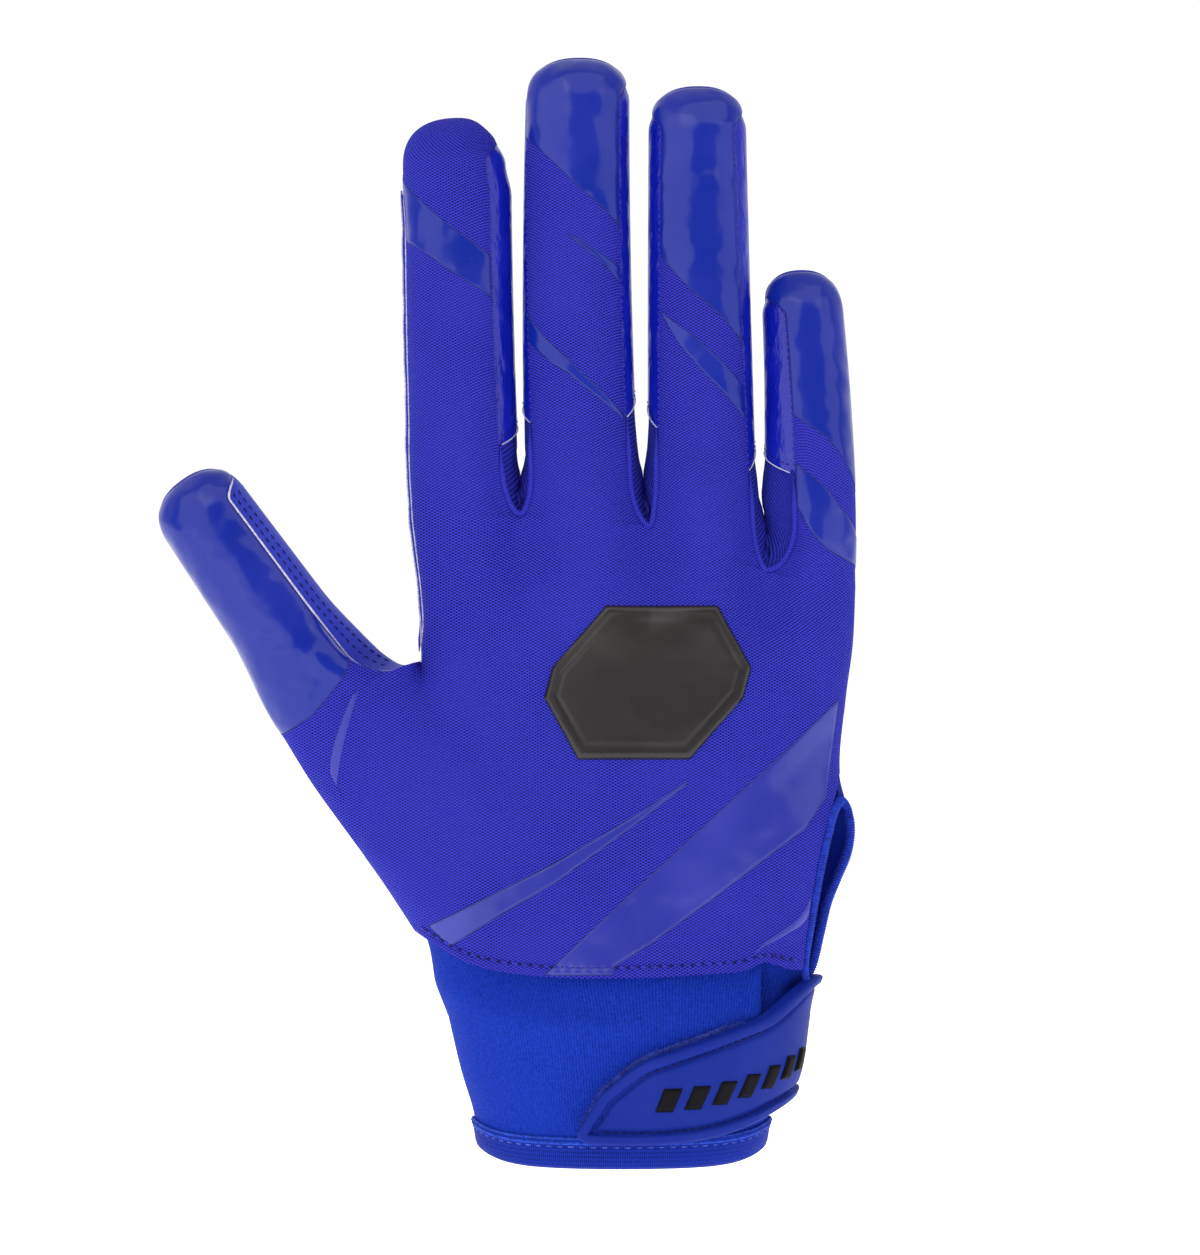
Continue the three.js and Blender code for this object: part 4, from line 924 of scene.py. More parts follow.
class Wire:
    """Shader socket that takes part in arithmetic: each operator adds a Math node."""

    def __init__(self, paint: "Painter", socket: bpy.types.NodeSocket) -> None:
        """Keeps the socket and the painter that adds nodes for it."""
        self.paint = paint
        self.socket = socket

    __add__ = __radd__ = binary("ADD")
    __sub__ = binary("SUBTRACT")
    __rsub__ = binary("SUBTRACT", swapped=True)
    __mul__ = __rmul__ = binary("MULTIPLY")
    __truediv__ = binary("DIVIDE")
    __rtruediv__ = binary("DIVIDE", swapped=True)
    __pow__ = binary("POWER")

    def cosine(self) -> "Wire":
        """Cosine of whole turns."""
        return self.paint.maths("COSINE", self * (2 * math.pi))

    def wave(self) -> "Wire":
        """Cosine of whole turns, raised to run from 0 to 1."""
        return self.cosine() * 0.5 + 0.5

    def fraction(self) -> "Wire":
        """Part after the whole number."""
        return self.paint.maths("FRACT", self)

    def size(self) -> "Wire":
        """Value without its sign."""
        return self.paint.maths("ABSOLUTE", self)

    def step(self, low: float, high: float) -> "Wire":
        """Eased step from 0 at low to 1 at high."""
        node = self.paint.node(
            "ShaderNodeMapRange",
            {"interpolation_type": "SMOOTHSTEP"},
            {"Value": self, "From Min": low, "From Max": high, "To Min": 0.0, "To Max": 1.0},
        )
        return Wire(self.paint, node.outputs["Result"])


Colour = tuple[float, float, float]
Dye = tuple[int, int, int]


def paint_colour(dye: Dye) -> Colour:
    """Colour for a shader from the 0 to 255 numbers that a screen uses."""
    parts = [c / 255 for c in dye]
    linear = [c / 12.92 if c <= 0.04045 else ((c + 0.055) / 1.055) ** 2.4 for c in parts]
    return linear[0], linear[1], linear[2]


def shade(colour: Colour, factor: float) -> Colour:
    """A colour made darker or lighter."""
    return colour[0] * factor, colour[1] * factor, colour[2] * factor


class Painter:
    """Builds one material's nodes."""

    def __init__(self, name: str) -> None:
        """Makes an empty material with one surface shader."""
        self.material = bpy.data.materials.new(name)
        self.material.use_nodes = True
        self.tree = self.material.node_tree
        self.tree.nodes.clear()

    def node(self, kind: str, settings: dict[str, Any], inputs: dict[Any, Any]) -> bpy.types.Node:
        """Adds one node: its settings first, then the values or links of its sockets."""
        made = self.tree.nodes.new(kind)
        for key, value in settings.items():
            setattr(made, key, value)
        for key, value in inputs.items():
            socket = made.inputs[key]
            if isinstance(value, Wire):
                self.tree.links.new(value.socket, socket)
            elif isinstance(value, tuple) and len(value) == 3 and socket.type == "RGBA":
                socket.default_value = (*value, 1.0)
            else:
                socket.default_value = value
        return made

    def maths(self, operation: str, first: Any, second: Any = None) -> Wire:
        """Math node on one or two values."""
        inputs = {0: first} if second is None else {0: first, 1: second}
        return Wire(self, self.node("ShaderNodeMath", {"operation": operation}, inputs).outputs[0])

    def mix(self, share: Any, first: Any, second: Any) -> Wire:
        """Blend of two colours."""
        made = self.node("ShaderNodeMix", {"data_type": "RGBA"}, {0: share, 6: first, 7: second})
        return Wire(self, made.outputs[2])

    def cloth(self) -> tuple[Wire, Wire]:
        """The piece's own cloth coordinates, across and along, in millimetres."""
        place = self.node("ShaderNodeUVMap", {"uv_map": CLOTH_UV}, {})
        parts = self.node("ShaderNodeSeparateXYZ", {}, {0: Wire(self, place.outputs[0])})
        return Wire(self, parts.outputs[0]), Wire(self, parts.outputs[1])

    def place(self, stretch: tuple[float, float, float] = (1.0, 1.0, 1.0)) -> Wire:
        """Object coordinates in metres, stretched."""
        made = self.node("ShaderNodeTexCoord", {}, {})
        scaled = self.node(
            "ShaderNodeVectorMath", {"operation": "MULTIPLY"},
            {0: Wire(self, made.outputs["Object"]), 1: stretch},
        )
        return Wire(self, scaled.outputs[0])

    def axis(self, number: int) -> Wire:
        """One coordinate of the object, in metres."""
        coordinates = self.node("ShaderNodeTexCoord", {}, {})
        parts = self.node("ShaderNodeSeparateXYZ", {}, {0: Wire(self, coordinates.outputs["Object"])})
        return Wire(self, parts.outputs[number])

    def noise(self, cell: float, detail: float = 2.0, vector: Wire | None = None) -> Wire:
        """Noise from 0 to 1 with cells of a size in millimetres."""
        made = self.node(
            "ShaderNodeTexNoise", {},
            {"Vector": vector or self.place(), "Scale": 1000.0 / cell, "Detail": detail, "Roughness": 0.55},
        )
        return Wire(self, made.outputs[0])

    def bump(self, height: Wire, depth: float, strength: float = 1.0, under: Wire | None = None) -> Wire:
        """Normal from a height, whose whole range is depth millimetres."""
        inputs: dict[Any, Any] = {"Strength": strength, "Distance": depth * METRES, "Height": height}
        if under is not None:
            inputs["Normal"] = under
        return Wire(self, self.node("ShaderNodeBump", {}, inputs).outputs[0])

    def surface(self, **inputs: Any) -> bpy.types.Material:
        """Closes the material with its surface shader, whose socket names use _ for spaces."""
        named = {key.replace("_", " "): value for key, value in inputs.items()}
        shader = self.node("ShaderNodeBsdfPrincipled", {}, named)
        output = self.tree.nodes.new("ShaderNodeOutputMaterial")
        self.tree.links.new(shader.outputs[0], output.inputs[0])
        return self.material


class Weave(Enum):
    """How the threads of a cloth lie."""

    MESH_KNIT = "mesh knit"
    NEOPRENE_KNIT = "neoprene knit"
    TWILL_RIB = "twill rib"
    TAPE_RIB = "tape rib"


@dataclass(frozen=True)
class ClothFinish:
    """Woven or knitted cloth: thread colour, the darker gaps, the pitch of the threads and their relief. The
    light threads and dark gaps are the weave's pattern with painted highlight on the threads and painted
    shade in the gaps.
    """

    name: str
    weave: Weave
    thread: Dye
    gap: Dye
    pitch: tuple[float, float]
    relief: float
    fuzz: float
    roughness: float = 0.78

    def height(self, paint: Painter) -> Wire:
        """Thread height from 0 in the gaps to 1 on the crowns."""
        across, along = paint.cloth()
        across = across / self.pitch[0]
        along = along / self.pitch[1]
        if self.weave is Weave.MESH_KNIT:
            holes = across.cosine() * along.cosine() * 0.44 + (across * 2).cosine() * 0.06 + 0.5
            return 1 - holes.step(0.26, 0.76)
        if self.weave is Weave.NEOPRENE_KNIT:
            zig = (along.fraction() - 0.5).size() * 2
            columns = (across + zig * 0.22).wave() * 0.42
            return columns + along.wave() * 0.12 + (paint.noise(0.6, 2.0) - 0.27)
        if self.weave is Weave.TWILL_RIB:
            return (across - along).wave() * 0.85 + (across + along * 3.0).wave() * 0.15
        return (across + (along * 0.2).cosine() * 0.05).wave() * 0.7 + along.wave() * 0.3

    def build(self) -> bpy.types.Material:
        """Cloth shader: gaps darker than crowns, partly the weave's pattern and partly painted shade and
        painted highlight, slow dye variation, fine lint and a soft sheen.
        """
        paint = Painter(self.name)
        threads = self.height(paint)
        crown = paint_colour(self.thread)
        dye = paint.noise(24.0, 3.0)
        lint = paint.noise(0.5, 2.0)
        # Colour follows the thread height from the dark gap colour to the light thread colour: the weave's
        # pattern, with painted shade in the gaps and painted highlight on the crowns.
        tone = threads * 0.86 + lint * 0.24 - 0.06
        colour = paint.mix(tone, paint_colour(self.gap), crown)
        colour = paint.mix(dye.step(0.35, 0.75) * 0.35, colour, shade(crown, 0.72))
        soft = paint.bump(dye, 0.5, 0.35)
        normal = paint.bump(threads + lint * 0.3, self.relief, 0.9, soft)
        return paint.surface(
            Base_Color=colour, Roughness=self.roughness - lint * 0.12, Normal=normal,
            Sheen_Weight=self.fuzz, Sheen_Roughness=0.45, Sheen_Tint=(*shade(crown, 1.6), 1.0),
            Specular_IOR_Level=0.09,
        )


@dataclass(frozen=True)
class FilmFinish:
    """Smooth glossy coating: its colour, the milky tint it takes in places, how far it ripples, and how wide
    a painted shade runs along its edges.
    """

    name: str
    colour: Dye
    milk: Dye
    roughness: float
    coat: float
    ripple: float
    ripple_cell: float = 9.0
    grain: float = 0.012
    wrinkle: float = 0.0
    # rim: width in millimetres of the painted shade along the film's edges; 0 for none.
    rim: float = 0.0
    shine: float = 0.5

    def build(self) -> bpy.types.Material:
        """Gloss shader: slow ripples that bend the reflections, faint orange peel, small dust marks, and
        painted shade along the film's edges where rim is set.
        """
        paint = Painter(self.name)
        slow = paint.noise(self.ripple_cell, 1.0)
        wide = paint.noise(self.ripple_cell * 2.6, 1.0)
        peel = paint.noise(0.7, 2.0)
        marks = paint.noise(1.6, 4.0).step(0.66, 0.8)
        base, milk = paint_colour(self.colour), paint_colour(self.milk)
        colour = paint.mix(wide.step(0.42, 0.68) * 0.55, base, milk)
        colour = paint.mix(marks * 0.25, colour, milk)
        normal = paint.bump(slow, self.ripple, 0.8)
        normal = paint.bump(peel, self.grain, 0.6, normal)
        if self.wrinkle > 0:
            creases = paint.noise(3.2, 3.0, paint.place((1.0, 1.0, 0.35)))
            normal = paint.bump((creases - 0.5).size() * 2, self.wrinkle, 0.8, normal)
        rough = self.roughness + peel * 0.08 + marks * 0.15
        # Painted shade: the colour darkens towards the film's edges, standing in for the shadow line where
        # the film meets the cloth; roughness rises there as well.
        if self.rim > 0:
            inside = paint.cloth()[0].step(self.rim * 0.2, self.rim)
            colour = paint.mix(inside, shade(base, 0.55), colour)
            rough = rough + (1 - inside) * 0.5
        return paint.surface(
            Base_Color=colour, Roughness=rough, Normal=normal,
            Coat_Weight=self.coat, Coat_Roughness=0.12, Specular_IOR_Level=self.shine,
        )


@dataclass(frozen=True)
class RubberFinish:
    """Moulded rubber or leather-like coating: satin, with fine pebbles and paler worn patches."""

    name: str
    colour: Dye
    worn: Dye
    roughness: float
    pebble: float
    cell: float
    shine: float = 0.42

    def build(self) -> bpy.types.Material:
        """Satin shader: pebble grain in the bump, dusty tone variation, uneven gloss."""
        paint = Painter(self.name)
        grain = paint.noise(self.cell, 3.0)
        cloud = paint.noise(16.0, 3.0)
        specks = paint.noise(0.9, 2.0).step(0.70, 0.80)
        worn = paint_colour(self.worn)
        colour = paint.mix(cloud.step(0.4, 0.75) * 0.5, paint_colour(self.colour), worn)
        colour = paint.mix(specks * 0.35, colour, worn)
        normal = paint.bump(grain, self.pebble, 0.7)
        return paint.surface(
            Base_Color=colour, Roughness=self.roughness + grain * 0.12 + cloud * 0.06, Normal=normal,
            Specular_IOR_Level=self.shine,
        )


@dataclass(frozen=True)
class ThreadFinish:
    """Sewing thread, raw cut edges and hook pile: a fibre colour and a darker core."""

    name: str
    colour: Dye
    core: Dye
    twist: float
    roughness: float = 0.7

    def build(self) -> bpy.types.Material:
        """Fibre shader: fine twisted strands by object place, with tone changes from strand to strand."""
        paint = Painter(self.name)
        strands = paint.noise(self.twist, 3.0)
        tone = paint.noise(self.twist * 4, 2.0)
        strand = (strands * 0.6 + tone * 0.5).step(0.25, 0.8)
        colour = paint.mix(strand, paint_colour(self.core), paint_colour(self.colour))
        normal = paint.bump(strands, 0.08, 0.8)
        return paint.surface(
            Base_Color=colour, Roughness=self.roughness + strands * 0.1, Normal=normal,
            Sheen_Weight=0.05, Specular_IOR_Level=0.2,
        )


KNIT = ClothFinish("back_mesh_knit", Weave.MESH_KNIT, (64, 66, 216), (1, 2, 78), (1.12, 0.60), 0.22, 0.02)
WEB_KNIT = ClothFinish("fork_rib_knit", Weave.TWILL_RIB, (56, 60, 206), (1, 2, 40), (0.82, 1.00), 0.26, 0.02)
WELT_KNIT = ClothFinish("fork_lip_knit", Weave.MESH_KNIT, (64, 68, 214), (16, 18, 120), (1.00, 0.50),
                        0.16, 0.02)
CUFF_KNIT = ClothFinish("cuff_neoprene_knit", Weave.NEOPRENE_KNIT, (26, 66, 204), (2, 20, 112), (0.54, 0.46),
                        0.16, 0.03)
HEM_TAPE = ClothFinish("hem_ribbed_tape", Weave.TAPE_RIB, (26, 60, 202), (1, 6, 66), (0.42, 0.9),
                       0.20, 0.03, 0.62)
# GLOSS and MILKY_GLOSS carry a painted shade 0.42 mm wide along their edges (rim).
GLOSS = FilmFinish("gloss_film", (8, 34, 146), (34, 46, 156), 0.15, 0.0, 1.3, 7.5, rim=0.42, shine=0.40)
MILKY_GLOSS = FilmFinish("milky_gloss_film", (40, 48, 152), (62, 66, 170), 0.18, 0.0, 0.9,
                         rim=0.42, shine=0.42)
PRESSED_RIDGE = FilmFinish("pressed_ridge", (40, 42, 160), (56, 60, 172), 0.34, 0.0, 0.3)
COATED = FilmFinish("coated_side_wall", (4, 20, 160), (22, 34, 176), 0.20, 0.1, 0.6, 5.0, 0.015, 0.30)
BLACK_GLOSS = FilmFinish("black_gloss_badge", (26, 22, 22), (44, 38, 38), 0.30, 0.0, 0.3)
PALM = RubberFinish("palm_grip_coating", (26, 44, 172), (44, 60, 188), 0.46, 0.10, 0.8)
LINING = RubberFinish("palm_lining", (22, 66, 214), (34, 78, 224), 0.7, 0.05, 0.6)
RUBBER = RubberFinish("strap_moulded_rubber", (8, 36, 138), (24, 46, 148), 0.50, 0.02, 0.5, 0.16)
PRINT = RubberFinish("strap_black_print", (6, 6, 12), (20, 20, 30), 0.5, 0.02, 0.4, 0.12)
THREAD = ThreadFinish("overlock_thread", (34, 68, 210), (5, 22, 110), 0.25)
# Cord colour: the piping's own blue, lightened as painted highlight along the round cords.
CORD_WITH_PAINTED_HIGHLIGHT = ThreadFinish("hem_cord_painted_highlight", (44, 88, 226), (4, 20, 110), 0.3)
STITCH = ThreadFinish("seam_thread", (60, 60, 204), (14, 14, 96), 0.25)
LIGHT_STITCH = ThreadFinish("light_stitch", (92, 112, 226), (20, 36, 140), 0.25)
# Dark navy beads: painted shade standing in for needle holes and sunk stitches, whose recesses lie in shadow.
PIT_SHADE = ThreadFinish("needle_hole_shade", (14, 16, 92), (5, 7, 58), 0.4)
RAW = ThreadFinish("white_cut_edge", (226, 224, 240), (140, 140, 204), 0.4)
HOOKS = ThreadFinish("hook_pile", (70, 92, 206), (8, 20, 112), 0.5)


class Wardrobe:
    """Hangs finished pieces on the frame, one material for each finish."""

    def __init__(self) -> None:
        """Starts with no materials made."""
        self.made: dict[str, bpy.types.Material] = {}

    def material(self, finish: Any) -> bpy.types.Material:
        """The finish's material, made when first asked for."""
        if finish.name not in self.made:
            self.made[finish.name] = finish.build()
        return self.made[finish.name]

    def line(self, thing: bpy.types.Object, outer_cells: int, finish: Any) -> None:
        """Gives a shell's inside, whose cells follow the outer ones, a lining."""
        thing.data.materials.append(self.material(finish))
        inside = np.zeros(len(thing.data.polygons), np.int32)
        inside[outer_cells : 2 * outer_cells] = 1
        thing.data.polygons.foreach_set("material_index", inside)

    def hang(self, name: str, patch: Patch, finish: Any,
             nodes: Sequence[str] = ()) -> bpy.types.Object:
        """Makes a piece, dresses it, rides it on the body and lets it stand for its CAD nodes.

        Args:
            name: The piece's name.
            patch: Its closed surface.
            finish: The finish to build or reuse.
            nodes: CAD nodes that it stands for.

        Returns:
            The object.
        """
        thing = patch.to_object(name)
        thing.data.materials.append(self.material(finish))
        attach(thing, BODY)
        if nodes:
            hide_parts(*nodes)
        triangles = 2 * len(patch.cells) + sum(len(cap) - 2 for cap in patch.caps)
        LOG.info("%s: %d triangles", name, triangles)
        return thing


@dataclass
class HandPanels:
    """The knit back panel and the coated palm panel, each one comb-shaped shell."""

    form: HandForm
    columns: int = 20
    shaft_rows: int = 84
    tip_rows: int = 14

    def row_stations(self) -> Array:
        """Rows up the hand, close together at the cuff seam."""
        lip = np.arange(0, 0.30, 0.02)
        rest = np.linspace(0.30, THUMB_ROW, 60)
        top = np.linspace(THUMB_ROW, FINGER_ROW, 34)[1:]
        return np.concatenate([lip, rest, top])

    def sheet(self, side: Side) -> Patch:
        """The whole outside of one panel.

        The hand's rows and each digit's rows form one grid per digit. Cloth coordinates are distances
        across from the middle of the hand and up from the cuff, and turn with each digit.
        """
        t = np.linspace(0, 1, self.columns + 1)
        rows = self.row_stations()
        groups = [index + self.form.column_share(side, index, t) for index in range(5)]
        body = self.form.body(side, np.concatenate(groups)[None], rows[:, None])
        if side is Side.BACK:
            body = self.form.folded_edge(body, body[:1, :, 2])
        across = arc_length(np.swapaxes(body, 0, 1)).T
        centre = 3 * len(t)
        flat_x = across - across[:, centre : centre + 1] + body[:, centre : centre + 1, 0]
        flat_x = lerp(flat_x, body[..., 0], smooth((-body[..., 0] - 12) / 30))
        flat = np.stack([flat_x, body[..., 2]], axis=-1)
        k = np.concatenate([
            (np.arange(1, self.shaft_rows + 1) / self.shaft_rows) ** 1.5,
            1 + np.sin(np.arange(1, self.tip_rows + 1) / self.tip_rows * math.pi / 2),
        ])
        patches = []
        for index in range(5):
            top = THUMB_ROW if index == 0 else FINGER_ROW
            keep = rows <= top
            span = slice(index * len(t), (index + 1) * len(t))
            shaft = self.form.digit(side, index, t[None], k[:, None])
            points = np.concatenate([body[keep][:, span], shaft])
            root_flat = flat[keep][-1, span]
            own = self.digit_cloth(points[keep.sum() - 1 :], root_flat)
            cloth = np.concatenate([flat[keep][:, span], own[1:]])
            patches.append(Patch.grid(points, points[..., [0, 2]] if index == 0 else cloth))
        joined = Patch.joined(patches).welded()
        return joined if side is Side.BACK else joined.flipped()

    def digit_cloth(self, points: Array, root: Array) -> Array:
        """Cloth coordinates up a digit, easing from the hand's to the digit's own."""
        upward = arc_length(points)
        across = arc_length(np.swapaxes(points, 0, 1)).T
        centre = points.shape[1] // 2
        own = across - across[:, centre : centre + 1] + root[centre, 0]
        share = smooth(upward / 14)
        return np.stack([lerp(root[None, :, 0], own, share), root[None, :, 1] + upward], axis=-1)

    def shared_inward(self, sheet: Patch, other: Patch, wall: float) -> Array:
        """Steps to the inside, along the mean normal of both panels where they meet."""
        normals = sheet.normals()
        rim = np.unique(sheet.border())
        other_rim = np.unique(other.border())
        other_normals = other.normals()
        gaps = sheet.points[rim][:, None] - other.points[other_rim][None]
        distance = np.sum(gaps * gaps, axis=-1)
        nearest = np.argmin(distance, axis=1)
        met = distance[np.arange(len(rim)), nearest] < 0.04
        mean = unit(normals[rim] + other_normals[other_rim[nearest]])
        step = -normals * wall
        lean = np.maximum(0.6, np.sum(mean * normals[rim], axis=-1))[:, None]
        step[rim] = np.where(met[:, None], -mean * wall / lean, step[rim])
        return step

    def dress(self, wardrobe: Wardrobe) -> None:
        """Makes both panels."""
        back = self.sheet(Side.BACK)
        palm = self.sheet(Side.PALM)
        back_shell = back.shell(KNIT_WALL, self.shared_inward(back, palm, KNIT_WALL), 0.22)
        palm_shell = palm.shell(PALM_WALL, self.shared_inward(palm, back, PALM_WALL), 0.22)
        knit = wardrobe.hang("back_knit_panel", back_shell, KNIT, ["back_panel"])
        grip = wardrobe.hang("palm_grip_panel", palm_shell, PALM, ["palm_panel"])
        wardrobe.line(knit, len(back.cells), LINING)
        wardrobe.line(grip, len(palm.cells), LINING)


FORKS = (
    ("index_middle", 1, (0.15, 0.20), (141.7, 2.4, 3.2)),
    ("middle_ring", 2, (0.23, 0.22), (142.1, 3.0, 5.5)),
    ("ring_little", 3, (0.20, 0.21), (133.5, 3.2, 13.0)),
)


@dataclass
class FingerForks:
    """The ribbed knit web in each finger fork, the coated side walls above it, and their seams."""

    form: HandForm
    web_rows: int = 46
    wall_rows: int = 90
    across: int = 14
    tuck: float = 0.55
    sunk: float = 0.25
    most_swell: float = 1.6
    welt_radius: float = 0.60
    stitch_pitch: float = 1.45

    def web(self, left: int, tops: tuple[float, float], opening: tuple[float, float, float]) -> Patch:
        """The web as one strip: down the left finger's wall, round the fork and up the right one's.

        Both sides are moved towards each other until the gap between their crowns grows from nothing at
        the fork by a falling exponential curve.

        Args:
            left: The digit left of the fork.
            tops: How high the web reaches on both sides.
            opening: Height of the fork, the gap's final width and the height over which it opens.

        Returns:
            The strip, whose first cloth coordinate rises from the fork on both sides.
        """
        fork, widest, fade = opening
        shares = np.arange(1, self.web_rows + 1) / self.web_rows
        ends = smooth(shares / 0.25) * (1 - smooth((shares - 0.8) / 0.2))

        def side(i: int, w: Array, grow: Array | float) -> Array:
            """Wall lines of one side, close together at the fork."""
            k = tops[i] * FINGER_LENGTH / DIGITS[left + i].shoulder * shares**2 * 1.04
            return self.form.wall(left + i, i == 0, k, w, self.tuck, grow - self.sunk)

        crowns = [side(i, np.array([0.5]), 0.0)[:, 0] for i in (0, 1)]
        sides = []
        for i in (0, 1):
            z = crowns[i][:, 2]
            left_x, right_x = (np.interp(z, crown[:, 2], crown[:, 0]) for crown in crowns)
            wanted = widest * (1 - np.exp(-np.maximum(0, z - fork) / fade))
            need = np.clip((right_x - left_x - wanted) / 2, 0, self.most_swell) * ends
            sides.append(side(i, np.linspace(0, 1, self.across), need))
        rows = np.concatenate([sides[0][::-1], sides[1]])
        length = arc_length(np.swapaxes(rows, 0, 1)).T
        up = np.abs(length - length[self.web_rows])
        return Patch.grid(rows, np.stack([up, arc_length(rows)], axis=-1)).flipped()

    def side_wall(self, index: int, right: bool, top: float) -> Patch:
        """Coated wall from the web to the fingertip, thinning out at its upper end."""
        low = top * FINGER_LENGTH / DIGITS[index].shoulder
        k = np.concatenate([np.linspace(low, 1, self.wall_rows), np.linspace(1.04, 1.62, 14)])
        w = np.linspace(0, 1, self.across)
        wall = Patch.grid(self.form.wall(index, right, k, w, self.tuck))
        return wall if right else wall.flipped()

    def seam(self, index: int, right: bool, k: Array) -> tuple[Array, Array]:
        """The back panel's seam beside a wall, and the outward direction of the panel there."""
        t = self.form.seam_share(right, k)
        return self.form.digit(Side.BACK, index, t, k), self.form.digit_normal(Side.BACK, index, t, k)

    def welt(self, left: int, tops: tuple[float, float]) -> Patch:
        """Puffed edge round the fork: a soft roll whose ends taper into the finger seams."""
        paths, normals = [], []
        for i in (0, 1):
            index = left + i
            top = tops[i] * FINGER_LENGTH / DIGITS[index].shoulder
            k = top * np.linspace(0.004, 1, 60) ** 2
            points, normal = self.seam(index, i == 0, k)
            outward = self.form.wall_outward(index, i == 0, k)
            points = points + outward * 0.42 - normal * 0.30
            order = slice(None, None, -1) if i == 0 else slice(None)
            paths.append(points[order])
            normals.append(normal[order])
        path = np.concatenate(paths)
        length = arc_length(path)
        ends = smooth(np.minimum(length, length[-1] - length) / 7)
        return sweep(path, np.concatenate(normals), circle(12, self.welt_radius), 0.25 + 0.75 * ends)

    def dress(self, wardrobe: Wardrobe) -> None:
        """Makes the webs, walls, welts, raw ends and stitches of the three forks."""
        seam_rows, raw_ends, end_rows = [], [], []
        for name, left, tops, opening in FORKS:
            web = self.web(left, tops, opening).shell(SIDE_WALL)
            wardrobe.hang(f"fork_web_{name}", web, WEB_KNIT, [f"web_{name}"])
            wardrobe.hang(f"fork_welt_{name}", self.welt(left, tops), WELT_KNIT)
            for i in (0, 1):
                index, right = left + i, i == 0
                hand = "right" if right else "left"
                node = f"sidewall_{DIGITS[index].name}_{hand}"
                wall = self.side_wall(index, right, tops[i]).shell(SIDE_WALL, None, 0.1)
                wardrobe.hang(f"coated_{node}", wall, COATED, [node])
                low = tops[i] * FINGER_LENGTH / DIGITS[index].shoulder
                seam, normal = self.seam(index, right, np.linspace(low, 1.2, 120))
                outward = self.form.wall_outward(index, right, np.linspace(low, 1.0, 120))
                line = seam + outward * 0.12 - normal * 0.42
                seam_rows.append(stitches(line, normal, self.stitch_pitch, (0.52, 0.26, 0.30)))
                raw_ends.append(self.raw_end(index, right, low))
                end_rows.append(self.end_row(index, right, low))
        wardrobe.hang("finger_seam_stitches", Patch.joined(seam_rows), STITCH)
        wardrobe.hang("side_wall_raw_ends", Patch.joined(raw_ends), RAW)
        wardrobe.hang("side_wall_end_stitches", Patch.joined(end_rows), PIT_SHADE)

    def wall_line(self, index: int, right: bool, k: float, lift: float) -> tuple[Array, Array]:
        """One line across a side wall, lifted off it, and the outward direction."""
        w = np.linspace(0.06, 0.94, 24)
        lines = self.form.wall(index, right, np.array([k]), w, self.tuck, 0.0)[0]
        outward = self.form.wall_outward(index, right, np.array([k]))[0]
        towards = np.tile(outward, (len(w), 1))
        return lines + towards * lift, towards

    def raw_end(self, index: int, right: bool, low: float) -> Patch:
        """White cut end of a side wall: a thin flat strip across its lower end."""
        path, up = self.wall_line(index, right, low, 0.06)
        return sweep(path, up, circle(8, 0.13, 0.9))

    def end_row(self, index: int, right: bool, low: float) -> Patch:
        """Stitches across the side wall a little above its cut end."""
        path, up = self.wall_line(index, right, low + 1.6 / DIGITS[index].shoulder, 0.0)
        return stitches(path, up, 1.3, (0.42, 0.16, 0.14))


@dataclass(frozen=True)
class FingerFilm:
    """Glossy film on a digit: rows of a share across the back panel, a low and a high edge.

    Edges are heights above the digit's root in shares of the finger length; None reaches the tip.
    """

    node: str
    digit: int
    rows: tuple[tuple[float, float, float | None], ...]


@dataclass(frozen=True)
class HandFilm:
    """Film on the back of the hand: rows of the upper edge's x and z, then the lower edge's."""

    node: str
    rows: tuple[tuple[float, float, float, float], ...]


FINGER_FILMS = (
    FingerFilm("film_index_band", 1, ((0.01, 0.606, 0.748), (0.35, 0.578, 0.690), (0.70, 0.520, 0.618),
                                      (0.985, 0.470, 0.562))),
    FingerFilm("film_middle_tip", 2, ((0.01, 0.836, None), (0.30, 0.790, None), (0.65, 0.705, None),
                                      (0.985, 0.634, None))),
    FingerFilm("film_middle_sliver", 2, ((0.50, 0.612, 0.618), (0.75, 0.560, 0.580), (0.98, 0.512, 0.546))),
    FingerFilm("film_middle_low", 2, ((0.02, 0.388, 0.448), (0.45, 0.316, 0.350), (0.70, 0.262, 0.286),
                                      (0.98, 0.214, 0.226))),
    FingerFilm("film_ring_tip", 3, ((0.015, 0.628, None), (0.35, 0.556, None), (0.70, 0.492, None),
                                    (0.985, 0.430, None))),
    FingerFilm("film_ring_low", 3, ((0.04, 0.496, 0.504), (0.42, 0.392, 0.448), (0.70, 0.326, 0.392),
                                    (0.98, 0.264, 0.338))),
    FingerFilm("film_little_tip", 4, ((0.015, 0.343, None), (0.40, 0.290, None), (0.70, 0.228, None),
                                      (0.98, 0.175, None))),
    FingerFilm("film_little_low", 4, ((0.015, 0.145, 0.240), (0.35, 0.066, 0.186), (0.65, 0.030, 0.127),
                                      (0.98, 0.010, 0.075))),
    FingerFilm("film_thumb_cap", 0, ((0.02, -0.062, None), (0.20, -0.052, None), (0.45, -0.027, None),
                                     (0.72, 0.004, None), (0.985, 0.042, None))),
)
